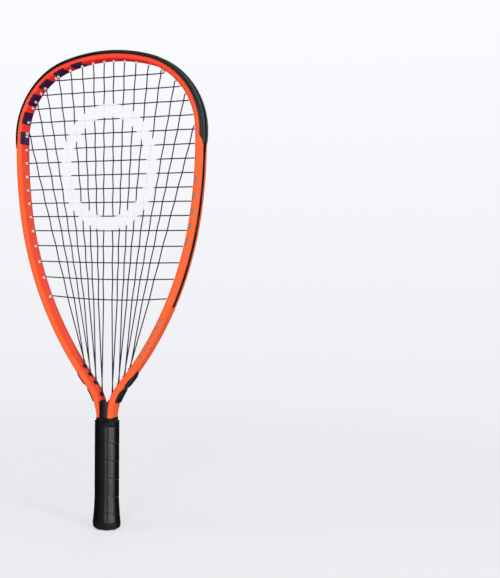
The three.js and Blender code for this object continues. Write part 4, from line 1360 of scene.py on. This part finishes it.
def bumper_lift(layout, level):
    """The bumper thins down the sides and towards its ends, where it runs out flush with the tube."""
    full = layout.bumper_tail + layout.guard.wing_tip + BUMPER_FADE[1]
    low = layout.bumper_tail + layout.guard.wing_start - BUMPER_FADE[0]
    end = eased(clamp((level - low) / (full - low)))
    side = eased(clamp((layout.crown - BUMPER_SIDE_FADE[0] - level) / BUMPER_SIDE_FADE[1]))
    return blend(BUMPER_END_SHARE, 1, end) * blend(1, BUMPER_SIDE_SHARE, side)


def shortened(points, kept):
    """The start of a line, cut to a share of its length."""
    spans = [math.dist(before, after) for before, after in zip(points, points[1:])]
    rest = sum(spans) * kept
    line = [points[0]]
    for before, after, span in zip(points, points[1:], spans):
        if rest <= span:
            line.append(tuple(blend(a, b, rest / span) for a, b in zip(before, after)))
            break
        line.append(after)
        rest -= span
    return line


def respaced(points, count):
    """The same line with a given count of evenly spaced points."""
    lengths = [0]
    for before, after in zip(points, points[1:]):
        lengths.append(lengths[-1] + math.dist(before, after))
    spaced = []
    for i in range(count):
        target = lengths[-1] * i / (count - 1)
        k = next((n for n in range(1, len(lengths)) if lengths[n] >= target - 1e-12), len(lengths) - 1)
        span = lengths[k] - lengths[k - 1]
        part = (target - lengths[k - 1]) / span if span else 0
        spaced.append(tuple(blend(a, b, part) for a, b in zip(points[k - 1], points[k])))
    return spaced


def bumper_section(layout, share_kept, lift):
    """The bumper's closed section, with a share of its wings and of its thickness."""
    guard, gap = layout.guard, layout.gap
    under = layout.half + gap
    face = under + guard.bumper * lift
    corner_x, corner_y = layout.beam - layout.hoop.corner, layout.half - layout.hoop.corner
    radius = layout.hoop.corner + gap
    steps = 10
    lip = 0.12 * MM
    outer = [(layout.channel_half + lip, face)]
    inner = [(layout.hoop.groove / 2 - gap, under)]
    for i in range(steps + 1):
        part = i / steps
        angle = guard.bumper_wrap * part
        thick = radius + blend(guard.bumper * lift, guard.bumper_edge * min(1, lift * 1.5), part)
        outer.append((corner_x + thick * math.sin(angle), corner_y + thick * math.cos(angle)))
        inner.append((corner_x + radius * math.sin(angle), corner_y + radius * math.cos(angle)))
    kept = max(share_kept, LEAST_WING)
    outer, inner = (respaced(shortened(line, kept), WING_POINTS) for line in (outer, inner))
    end_out, end_in = outer[-1], inner[-1]
    nose = [
        (blend(end_out[0], end_in[0], 0.12) + 0.1 * MM, blend(end_out[1], end_in[1], 0.25)),
        (blend(end_out[0], end_in[0], 0.6) + 0.12 * MM, blend(end_out[1], end_in[1], 0.7)),
    ]
    mouth = [(layout.channel_half, layout.channel), (layout.channel_half, face - lip)]
    foot = [(layout.hoop.groove / 2 - gap, layout.guard_bottom)]
    return mirrored(mouth + outer + nose + inner[::-1] + foot)


def build_bumper(scene):
    """The bumper over the top of the head, its ends swept down into the groove."""
    layout = Layout(scene)
    end = layout.bumper_reach - layout.gap / 2
    steps = math.ceil(2 * end / BUMPER_STEP)
    rings = []
    for i in range(steps + 1):
        reach = blend(-end, end, i / steps)
        level = layout.point(reach, layout.half).z
        section = bumper_section(layout, wing_share(layout, level), bumper_lift(layout, level))
        rings.append([layout.point(reach, out, beam) for beam, out in section])
    material = nylon("black_nylon", scene.racket_colours.nylon)
    settle_mesh("bumper", smooth(loft("bumper", rings), 38), material, "black_nylon", "head_bumper")


def build_side_guards(scene):
    """Black channels in the groove below the bumper."""
    layout = Layout(scene)
    material = nylon("guard_nylon", scene.racket_colours.nylon)
    rib, half = layout.guard.rib, layout.channel_half
    top = layout.half
    right = [(half, layout.channel), (half, top - GUARD_LIP), (half + GUARD_LIP, top)]
    right += [(half + rib - GUARD_LIP, top), (half + rib, top - GUARD_LIP)]
    section = mirrored(right + [(half + rib, layout.guard_bottom)])
    for name, side in SIDES:
        piece = swept(layout, f"side_channel_{name}", section, *guard_stretch(layout, side), material)
        smooth(piece.data, 40)
        settle(piece, "black_nylon", f"side_guard_{name}")


def cover_half_width(layout, run):
    """Half width of a throat cover at a distance up the leg from the lowest hole."""
    guard, pitch = layout.guard, layout.bed.first_pitch
    low, high = cover_ends(layout)
    lobes = (
        (low, pitch * LOBE_SHARES[0], guard.lobe_corner, guard.lobe_corner),
        (pitch * LOBE_SHARES[1], high, guard.lobe_corner, guard.lobe_tip),
    )
    widest = guard.neck_half if low + guard.lobe_corner < run < high - guard.lobe_tip else 0
    for start, end, start_round, end_round in lobes:
        if start <= run <= end:
            width = guard.lobe_half
            for edge, length_round in ((run - start, start_round), (end - run, end_round)):
                if edge < length_round:
                    part = 1 - edge / length_round
                    lost = guard.lobe_corner * (1 - math.sqrt(1 - part**2))
                    if length_round == guard.lobe_tip:
                        lost = guard.lobe_half * LOBE_TAPER_SHARE * part**LOBE_TAPER_POWER
                    width = min(width, guard.lobe_half - lost)
            widest = max(widest, width)
    return widest


def cover_ends(layout):
    """Where a throat cover begins and ends, up the leg from the lowest hole."""
    margin = layout.throat_margin + layout.guard.cover_overlap
    return -margin, layout.throat_reaches[0] - layout.throat_reaches[-1] + margin - 3 * MM


def cover_thickness(layout, half_width):
    """A lobe is thick and the neck thin."""
    guard = layout.guard
    part = (half_width - guard.neck_half) / (guard.lobe_half - guard.neck_half)
    return blend(guard.neck, guard.cover, eased(clamp(part * COVER_THICKENING)))


def tube_face(layout, beam):
    """How far out the tube's outer face lies at a distance through the beam, with the seat gap."""
    corner = layout.hoop.corner
    past = abs(beam) - (layout.beam - corner)
    if past <= 0:
        return layout.half + layout.gap
    return layout.half - corner + math.sqrt(max(0, (corner + layout.gap) ** 2 - past**2))


def quarter(part):
    """The height of a quarter circle, from its foot at 0 to its top at 1."""
    return math.sqrt(1 - (1 - min(1, part)) ** 2)


def cover_ring(layout, side, run, low, high):
    """A throat cover's section at a distance up the leg, domed over the tube's outer face."""
    half = cover_half_width(layout, run)
    thick = cover_thickness(layout, half) * quarter(min(run - low, high - run) / COVER_BEVEL)
    reach = side * (layout.throat_reaches[0] - run)
    shares = [math.sin((k / COVER_POINTS - 0.5) * math.pi) for k in range(COVER_POINTS + 1)]
    ring = []
    for across in shares:
        rim = COVER_RIM * quarter((1 - abs(across)) * half / (0.4 * COVER_BEVEL)) * min(1, thick / MM)
        rise = rim + max(0, thick - COVER_RIM) * max(0, 1 - across**2) ** COVER_DOME_POWER
        ring.append(layout.point(reach, tube_face(layout, across * half) + rise, across * half))
    for across in reversed(shares[1:-1]):
        ring.append(layout.point(reach, tube_face(layout, across * half), across * half))
    return ring


def build_covers(scene):
    """The two-lobed covers over the throat loops."""
    layout = Layout(scene)
    material = nylon("cover_nylon", scene.racket_colours.nylon)
    low, high = cover_ends(layout)
    low, high = low + COVER_END_INSET, high - COVER_END_INSET
    steps = math.ceil((high - low) / COVER_STEP)
    runs = [blend(low, high, i / steps) for i in range(steps + 1)]
    for name, side in SIDES:
        rings = [cover_ring(layout, side, run, low, high) for run in runs]
        mesh = smooth(loft(f"throat_pad_{name}", rings), 50)
        settle_mesh(f"throat_pad_{name}", mesh, material, "black_nylon", f"throat_cover_{name}")


def string_object(name, path, layout, material):
    """A string along its path."""
    steps = [(i, i + 1) for i in range(len(path) - 1)]
    mesh = mesh_from(name, [point["at"] for point in path], steps)
    for key in ("bend", "thickness"):
        note(mesh, key, [point[key] for point in path])
    helper = new_object("route", mesh)
    piece = grow(name, helper, string_recipe(), {"Radius": layout.string, "Material": material})
    drop(helper)
    smooth(piece.data, 60)
    return piece


def build_strings(scene):
    """The mains in two halves and the crosses in one, woven over and under."""
    layout = Layout(scene)
    material = string_finish(scene.racket_colours, layout)
    for name, side in SIDES:
        piece = string_object(f"mains_{name}", layout.main_path(side), layout, material)
        settle(piece, "grey_string", f"main_string_{name}")
    piece = string_object("crosses", layout.cross_path(), layout, material)
    settle(piece, "grey_string", "cross_string")


def insert_ring(layout, beam, inset, top, bottom):
    """The insert's outline at a distance through the beam: straight sides and a round top."""
    half = layout.handle.insert_half + layout.handle.insert_proud - inset
    rounding = half * INSERT_ROUNDING
    dome = arc(0, 0, rounding, 0, 90, 8)
    points = mirrored([(half - rounding + x, top - inset - rounding + z) for x, z in dome])
    return [(x, beam, z) for x, z in points + [(-half, bottom), (half, bottom)]]


def build_insert(scene):
    """The insert between the legs: round-topped cheeks with a saddle, and a tongue."""
    layout = Layout(scene)
    handle, gap = layout.handle, layout.gap
    top = handle.top + handle.insert_rise
    saddle = top - INSERT_SADDLE
    cheek = layout.shaft_foot + handle.collar + gap
    tongue = layout.shaft_foot - INSERT_TONGUE
    proud = layout.beam + handle.insert_proud
    slim = handle.insert_proud
    profile = [
        (proud, 0.9 * MM, top, cheek + 0.6 * MM),
        (proud - 0.25 * MM, 0.4 * MM, top, cheek + 0.2 * MM),
        (proud - 0.8 * MM, 0, top, cheek),
        (layout.beam - 0.2 * MM, 0, top, cheek),
        (layout.beam - 0.4 * MM, slim, top, tongue),
        (layout.beam - 2.2 * MM, slim, top - 0.4 * MM, tongue),
        (layout.beam - 3.4 * MM, slim, top - 2 * MM, tongue),
        (layout.beam - 4.3 * MM, slim, top - 4.6 * MM, tongue),
        (layout.beam - 5.6 * MM, slim, saddle + 0.5 * MM, tongue),
        (layout.beam - 7 * MM, slim, saddle, tongue),
    ]
    stations = [(-beam, inset, level, low) for beam, inset, level, low in profile]
    for beam, inset, level, low in reversed(profile):
        stations.append((beam, inset, max(saddle, level - INSERT_LOWER), low))
    body = loft("body", [insert_ring(layout, *station) for station in stations])
    body = new_object("body", smooth(body))
    section = rounded_section(layout.beam + gap, layout.half + gap, layout.hoop.corner + gap)
    start = layout.throat_reaches[0] - layout.throat_margin
    stretches = [ordered(side, start, layout.leg_reach) for side in (1, -1)]
    legs = joined("legs", [swept(layout, "leg", section, low, high) for low, high in stretches])
    empty = new_object("no_trim", mesh_from("no_trim", []))
    holes = point_cloud(layout, [], 0, [])
    inputs = {
        "Cuts": legs,
        "Trim": empty,
        "Holes": holes,
        "Material": nylon("insert_nylon", scene.racket_colours.nylon),
    }
    piece = grow("throat_wedge", body, drill_recipe(), inputs)
    drop(body, legs, empty, holes)
    smooth(piece.data, 32)
    settle(piece, "black_nylon", "throat_insert")


def build_cap(scene):
    """The butt cap: a flared cup with a rounded rim and the wrist cord's hole."""
    layout = Layout(scene)
    handle = layout.handle
    flare, floor, lip = handle.grip_half + handle.flare, handle.cap_floor, handle.cap_lip
    hole, full = handle.cord_hole / 2, eight(flare, CAP_SHARPNESS)
    profile = [
        (floor - 0.5 * MM, circle(hole)),
        (0.6 * MM, circle(hole)),
        (0.15 * MM, circle(hole + 0.2 * MM)),
        (0, circle(hole + 0.6 * MM)),
    ]
    for x, z in arc(0, CAP_RIM, CAP_RIM, -90, 0, 8):
        profile.append((z, eight(flare - CAP_RIM + x - 0.25 * MM, RIM_SHARPNESS)))
    profile += [
        (lip * 0.6, full),
        (lip - 0.5 * MM, full),
        (lip - 0.1 * MM, eight(flare - 0.2 * MM, CAP_SHARPNESS)),
        (lip, eight(flare - 0.6 * MM, CAP_SHARPNESS)),
    ]
    for i in range(9):
        level = blend(lip, handle.cap_top, i / 8)
        profile.append((level, eight(layout.under_wrap(level))))
    room = eight(layout.rebate_half + layout.gap)
    profile += [(handle.cap_top, room), (floor, room), (floor, circle(hole + 0.5 * MM))]
    material = rubber("cap_rubber", scene.racket_colours.rubber)
    settle_mesh("cap", smooth(turned("cap", profile, 144), 36), material, "black_rubber", "butt_cap")


def wrap_section(layout):
    """The strip's section: distance up the grip and depth over the pallets."""
    handle = layout.handle
    width = handle.pitch - handle.seam
    thick, edge = handle.wrap, handle.wrap_round
    points = [(0, 0), (width, 0), (width, thick - edge)]
    points += [(width - edge + x, thick - edge + y) for x, y in arc(0, 0, edge, 15, 75, 3)]
    middle = 7
    for i in range(middle):
        part = i / (middle - 1)
        swell = handle.wrap_crown * math.sin(math.pi * part) + handle.wrap_ridge * part**6
        points.append((blend(width - edge, edge, part), thick + swell))
    points += [(edge + x, thick - edge + y) for x, y in arc(0, 0, edge, 105, 165, 3)]
    points.append((0, thick - edge))
    return points


def build_wrap(scene):
    """The grip wrap: one padded strip wound down the octagon, trimmed level at its ends."""
    layout = Layout(scene)
    handle = layout.handle
    bottom = handle.cap_lip + layout.gap
    top = handle.top - handle.tape - layout.gap
    section = wrap_section(layout)
    turns = math.ceil((top - bottom) / handle.pitch) + 2
    rings = []
    for i in range(turns * WRAP_STEPS + 1):
        angle = 2 * math.pi * (i % WRAP_STEPS) / WRAP_STEPS
        base = top + handle.pitch * WRAP_START - handle.pitch * i / WRAP_STEPS
        ring = []
        for up, depth in section:
            level = base + up
            half = layout.grip_half(max(level, bottom - 1 * MM)) - handle.wrap + depth
            radius = octagon(half, angle, WRAP_SHARPNESS)
            ring.append((radius * math.cos(angle), radius * math.sin(angle), level))
        rings.append(ring)
    wound = new_object("wound", smooth(loft("wound", rings), 50))
    wide, depth = 2 * (handle.grip_half + handle.flare), top - bottom
    work = bmesh.new()
    bmesh.ops.create_cone(work, cap_ends=True, segments=64, radius1=wide, radius2=wide, depth=depth)
    bmesh.ops.translate(work, verts=work.verts, vec=(0, 0, (top + bottom) / 2))
    room = object_from("room", work)
    inputs = {"Room": room, "Material": grip_finish(scene.racket_colours)}
    piece = grow("wrap", wound, trim_recipe(), inputs)
    drop(wound, room)
    smooth(piece.data, 45)
    settle(piece, "grip_foam", "grip_wrap")


def build_tape(layout, colour):
    """The finishing tape round the top of the wrap."""
    bottom, top = layout.handle.top - layout.handle.tape, layout.handle.top
    edge, end, half = 0.3 * MM, 0.25 * MM, layout.handle.grip_half
    inner, outer = eight(layout.pallet_half + layout.gap), eight(half, WRAP_SHARPNESS)
    profile = [
        (bottom - end, inner),
        (bottom - end, eight(half - edge, WRAP_SHARPNESS)),
        (bottom + edge, outer),
        (top + end, outer),
        (top + end, inner),
    ]
    mesh = smooth(turned("tape", profile), 40)
    material = rubber("tape_finish", tint(colour, 0.8), 0.3)
    settle_mesh("tape", mesh, material, "finishing_tape", "finishing_tape")


def build_collar(scene):
    """The finishing tape, and the rubber collar that hugs the shaft."""
    layout = Layout(scene)
    handle, colour = layout.handle, scene.racket_colours.rubber
    build_tape(layout, colour)
    foot, wall = layout.shaft_foot, handle.collar_wall
    ring, lip = foot + handle.ring, foot + handle.collar
    wide = handle.grip_half + handle.collar_proud
    full = eight(wide, WRAP_SHARPNESS)

    def hug(extra=0.0):
        half_x = layout.hoop.leg_offset + layout.half + layout.gap / 3
        return rounded_box(half_x + extra, layout.beam + layout.gap / 3 + extra)

    def ease(part):
        slim = hug(wall)
        return lambda angle: blend(full(angle), slim(angle), part)

    profile = [
        (foot, hug()),
        (foot, eight(wide - 0.2 * MM, WRAP_SHARPNESS)),
        (foot + 0.15 * MM, full),
        (ring - 0.35 * MM, full),
        (ring - 0.05 * MM, eight(wide - 0.35 * MM, WRAP_SHARPNESS)),
        (ring + 0.15 * MM, ease(0.5)),
        (ring + 0.4 * MM, ease(0.93)),
        (ring + 0.8 * MM, hug(wall)),
        (lip - 0.4 * MM, hug(wall)),
        (lip - 0.1 * MM, hug(wall - 0.12 * MM)),
        (lip, hug(wall - 0.35 * MM)),
        (lip, hug()),
    ]
    mesh = smooth(turned("collar", profile, 144), 40)
    material = rubber("collar_rubber", colour, 0.36)
    settle_mesh("collar", mesh, material, "black_rubber", "grip_collar")


def dress_pallets(scene):
    """The foam pallets stay as the construction has them, with their own finish."""
    material = foam("pallet_foam", scene.racket_colours.foam)
    for name in ("pallet_front", "pallet_back"):
        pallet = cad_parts[name]
        pallet.data.materials.clear()
        pallet.data.materials.append(material)


# Stage


def floor_material():
    """A pale floor that keeps shadows and fades out into the backdrop."""
    finish = Finish("stage_floor", {"Base Color": (0.94, 0.945, 0.95, 1), "Roughness": 0.9})
    place = finish.place()
    x, y = finish.part(place, "X"), finish.part(place, "Y")
    radius = finish.maths("SQRT", x * x + y * y)
    fade = 0.62 + finish.smooth_step(radius, 0.3, 1.35) * 0.38
    clear = finish.node("ShaderNodeBsdfTransparent")
    surfaces = {0: fade.socket, 1: finish.surface.outputs[0], 2: clear.socket}
    mixed = lay_node(finish.tree, "ShaderNodeMixShader", values=surfaces)
    finish.tree.links.new(mixed.outputs[0], finish.tree.nodes["Material Output"].inputs[0])
    return finish.material


def build_world(scene):
    """Soft daylight all round, with a near-white backdrop for the camera and for reflections, painted
    darker towards the horizon and below it as painted shade.
    """
    world = bpy.data.worlds.new("studio")
    scene.world = world
    world.use_nodes = True
    tree = world.node_tree
    tree.nodes.clear()

    def lay(kind, values=None, settings=None, output=0):
        return lay_node(tree, kind, settings, values).outputs[output]

    up = lay("ShaderNodeSeparateXYZ", {0: lay("ShaderNodeTexCoord", output="Generated")}, output="Z")
    rise = lay("ShaderNodeMapRange", {"Value": up, "From Min": -0.12, "From Max": 0.23})
    # Painted shade: the backdrop turns darker from a little above the horizon downwards.
    backdrop_shade_colours = {0: rise, 6: (0.863, 0.871, 0.898, 1), 7: (0.965, 0.973, 1, 1)}
    painted_backdrop_shade = lay("ShaderNodeMix", backdrop_shade_colours, {"data_type": "RGBA"}, output=2)
    light = lay("ShaderNodeBackground", {"Color": (0.93, 0.95, 1, 1), "Strength": 0.36})
    backdrop = lay("ShaderNodeBackground", {"Color": painted_backdrop_shade, "Strength": 1})
    path = lay_node(tree, "ShaderNodeLightPath")
    seen = path.outputs["Is Camera Ray"]
    for ray in ("Is Glossy Ray", "Is Transmission Ray"):
        seen = lay("ShaderNodeMath", {0: seen, 1: path.outputs[ray]}, {"operation": "MAXIMUM"})
    mixed = lay("ShaderNodeMixShader", {0: seen, 1: light, 2: backdrop})
    lay_node(tree, "ShaderNodeOutputWorld", values={0: mixed})


def build_card():
    """A dark card behind the racket, met only by reflections, so that black edges stay dark."""
    radius, steps = 1.5, 48
    points = []
    for i in range(steps + 1):
        degrees = blend(98, 345, i / steps)
        angle = math.radians(degrees)
        height = blend(0.35, 2.6, clamp((degrees - 170) / 20))
        x, y = radius * math.sin(angle), -radius * math.cos(angle)
        points += [(x, y, -1), (x, y, height)]
    faces = [(2 * i, 2 * i + 2, 2 * i + 3, 2 * i + 1) for i in range(steps)]
    card = new_object("card", mesh_from("card", points, faces=faces))
    plain = {"Base Color": (0.01, 0.01, 0.01, 1), "Roughness": 1, "Specular IOR Level": 0}
    card.data.materials.append(Finish("stage_card", plain).material)
    card.visible_camera = card.visible_diffuse = False
    card.visible_transmission = card.visible_shadow = False


LAMP_TARGET = (0, 0, 0.3)
# Name, place, width and height, watts, and whether reflections show it
LAMPS = (
    ("front_strip", (0.264, -1.88, 0.35), (0.1, 1.4), 12, True),
    ("side_strip", (1.64, -0.73, 0.35), (0.3, 1.5), 17, True),
    ("fill", (-1.6, -1.2, 0.7), (1.0, 1.4), 10, False),
    ("top", (0.2, -0.5, 2.1), (1.6, 1.6), 14, False),
    ("back", (-0.5, 1.9, 0.8), (1.4, 1.2), 8, False),
)


def area_lamp(name, place, size, power, reflected):
    """A soft lamp that faces the racket's middle."""
    data = bpy.data.lights.new(name, "AREA")
    data.shape = "RECTANGLE"
    data.size, data.size_y = size
    data.energy = power
    lamp = new_object(name, data)
    lamp.location = place
    lamp.rotation_euler = (Vector(LAMP_TARGET) - Vector(place)).to_track_quat("-Z", "Y").to_euler()
    lamp.visible_camera = False
    lamp.visible_glossy = reflected


def build_stage(scene):
    """Floor, backdrop, lamps and camera."""
    stage = scene.racket_stage
    work = bmesh.new()
    bmesh.ops.create_circle(work, cap_ends=True, segments=96, radius=stage.floor)
    floor = object_from("floor", work)
    floor.data.materials.append(floor_material())
    floor.visible_glossy = False
    build_world(scene)
    for lamp in LAMPS:
        area_lamp(*lamp)
    build_card()
    camera = new_object("camera", bpy.data.cameras.new("camera"))
    camera.location = (
        stage.distance * math.sin(stage.azimuth),
        -stage.distance * math.cos(stage.azimuth),
        stage.height,
    )
    aim = Euler((math.pi / 2 - stage.pitch, 0, stage.azimuth)).to_matrix()
    camera.rotation_euler = (aim @ Matrix.Rotation(stage.roll, 3, "Z")).to_euler()
    camera.data.sensor_width = 36
    camera.data.lens = stage.focal * camera.data.sensor_width
    camera.data.shift_x = stage.shift
    camera.data.clip_start = 0.01
    scene.camera = camera
    scene.view_settings.view_transform = "Standard"


# Operators and panel


class PieceOperator:
    """Builds one group of pieces and reports that it is done."""

    bl_options = {"REGISTER", "UNDO"}

    def execute(self, context):
        type(self).build(context.scene)
        return {"FINISHED"}


class RACKET_OT_hoop(PieceOperator, bpy.types.Operator):
    """Build the lacquered hoop"""

    bl_idname = "racket.hoop"
    bl_label = "Hoop"
    build = staticmethod(build_hoop)


class RACKET_OT_grommets(PieceOperator, bpy.types.Operator):
    """Build the grommet strips"""

    bl_idname = "racket.grommets"
    bl_label = "Grommet Strips"
    build = staticmethod(build_grommets)


class RACKET_OT_bumper(PieceOperator, bpy.types.Operator):
    """Build the head bumper"""

    bl_idname = "racket.bumper"
    bl_label = "Head Bumper"
    build = staticmethod(build_bumper)


class RACKET_OT_side_guards(PieceOperator, bpy.types.Operator):
    """Build the side guards"""

    bl_idname = "racket.side_guards"
    bl_label = "Side Guards"
    build = staticmethod(build_side_guards)


class RACKET_OT_covers(PieceOperator, bpy.types.Operator):
    """Build the throat covers"""

    bl_idname = "racket.covers"
    bl_label = "Throat Covers"
    build = staticmethod(build_covers)


class RACKET_OT_strings(PieceOperator, bpy.types.Operator):
    """Build the woven strings"""

    bl_idname = "racket.strings"
    bl_label = "Strings"
    build = staticmethod(build_strings)


class RACKET_OT_insert(PieceOperator, bpy.types.Operator):
    """Build the throat insert"""

    bl_idname = "racket.insert"
    bl_label = "Throat Insert"
    build = staticmethod(build_insert)


class RACKET_OT_cap(PieceOperator, bpy.types.Operator):
    """Build the butt cap"""

    bl_idname = "racket.cap"
    bl_label = "Butt Cap"
    build = staticmethod(build_cap)


class RACKET_OT_wrap(PieceOperator, bpy.types.Operator):
    """Build the grip wrap"""

    bl_idname = "racket.wrap"
    bl_label = "Grip Wrap"
    build = staticmethod(build_wrap)


class RACKET_OT_collar(PieceOperator, bpy.types.Operator):
    """Build the finishing tape and the collar"""

    bl_idname = "racket.collar"
    bl_label = "Collar and Tape"
    build = staticmethod(build_collar)


class RACKET_OT_pallets(PieceOperator, bpy.types.Operator):
    """Finish the foam pallets"""

    bl_idname = "racket.pallets"
    bl_label = "Pallets"
    build = staticmethod(dress_pallets)


class RACKET_OT_stage(PieceOperator, bpy.types.Operator):
    """Set up the floor, light and camera"""

    bl_idname = "racket.stage"
    bl_label = "Stage"
    build = staticmethod(build_stage)


PIECE_OPERATORS = (
    RACKET_OT_hoop,
    RACKET_OT_grommets,
    RACKET_OT_bumper,
    RACKET_OT_side_guards,
    RACKET_OT_covers,
    RACKET_OT_strings,
    RACKET_OT_insert,
    RACKET_OT_cap,
    RACKET_OT_wrap,
    RACKET_OT_collar,
    RACKET_OT_pallets,
    RACKET_OT_stage,
)
PROPERTY_GROUPS = {
    "racket_hoop": HoopSizes,
    "racket_bed": BedSizes,
    "racket_guards": GuardSizes,
    "racket_handle": HandleSizes,
    "racket_colours": RacketColours,
    "racket_stage": StageSizes,
}


class RACKET_PT_panel(bpy.types.Panel):
    """The racket's pieces and sizes in the sidebar"""

    bl_label = "Racket"
    bl_idname = "RACKET_PT_panel"
    bl_space_type = "VIEW_3D"
    bl_region_type = "UI"
    bl_category = "Racket"

    def draw(self, context):
        layout = self.layout
        for operator in PIECE_OPERATORS:
            layout.operator(operator.bl_idname)
        for name, group in PROPERTY_GROUPS.items():
            box = layout.box()
            box.label(text=group.__doc__)
            for key in group.__annotations__:
                box.prop(getattr(context.scene, name), key)


def register():
    for item in (*PROPERTY_GROUPS.values(), *PIECE_OPERATORS, RACKET_PT_panel):
        bpy.utils.register_class(item)
    for name, group in PROPERTY_GROUPS.items():
        setattr(bpy.types.Scene, name, PointerProperty(type=group))


def unregister():
    for name in PROPERTY_GROUPS:
        delattr(bpy.types.Scene, name)
    for item in reversed((*PROPERTY_GROUPS.values(), *PIECE_OPERATORS, RACKET_PT_panel)):
        bpy.utils.unregister_class(item)


def run(operator):
    """Calls an operator by its name and stops if it didn't finish."""
    group, name = operator.bl_idname.split(".")
    if getattr(getattr(bpy.ops, group), name)() != {"FINISHED"}:
        raise RuntimeError(f"{operator.bl_label} was not built")


def main():
    register()
    for operator in PIECE_OPERATORS:
        run(operator)
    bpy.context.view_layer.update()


if __name__ == "__main__":
    main()
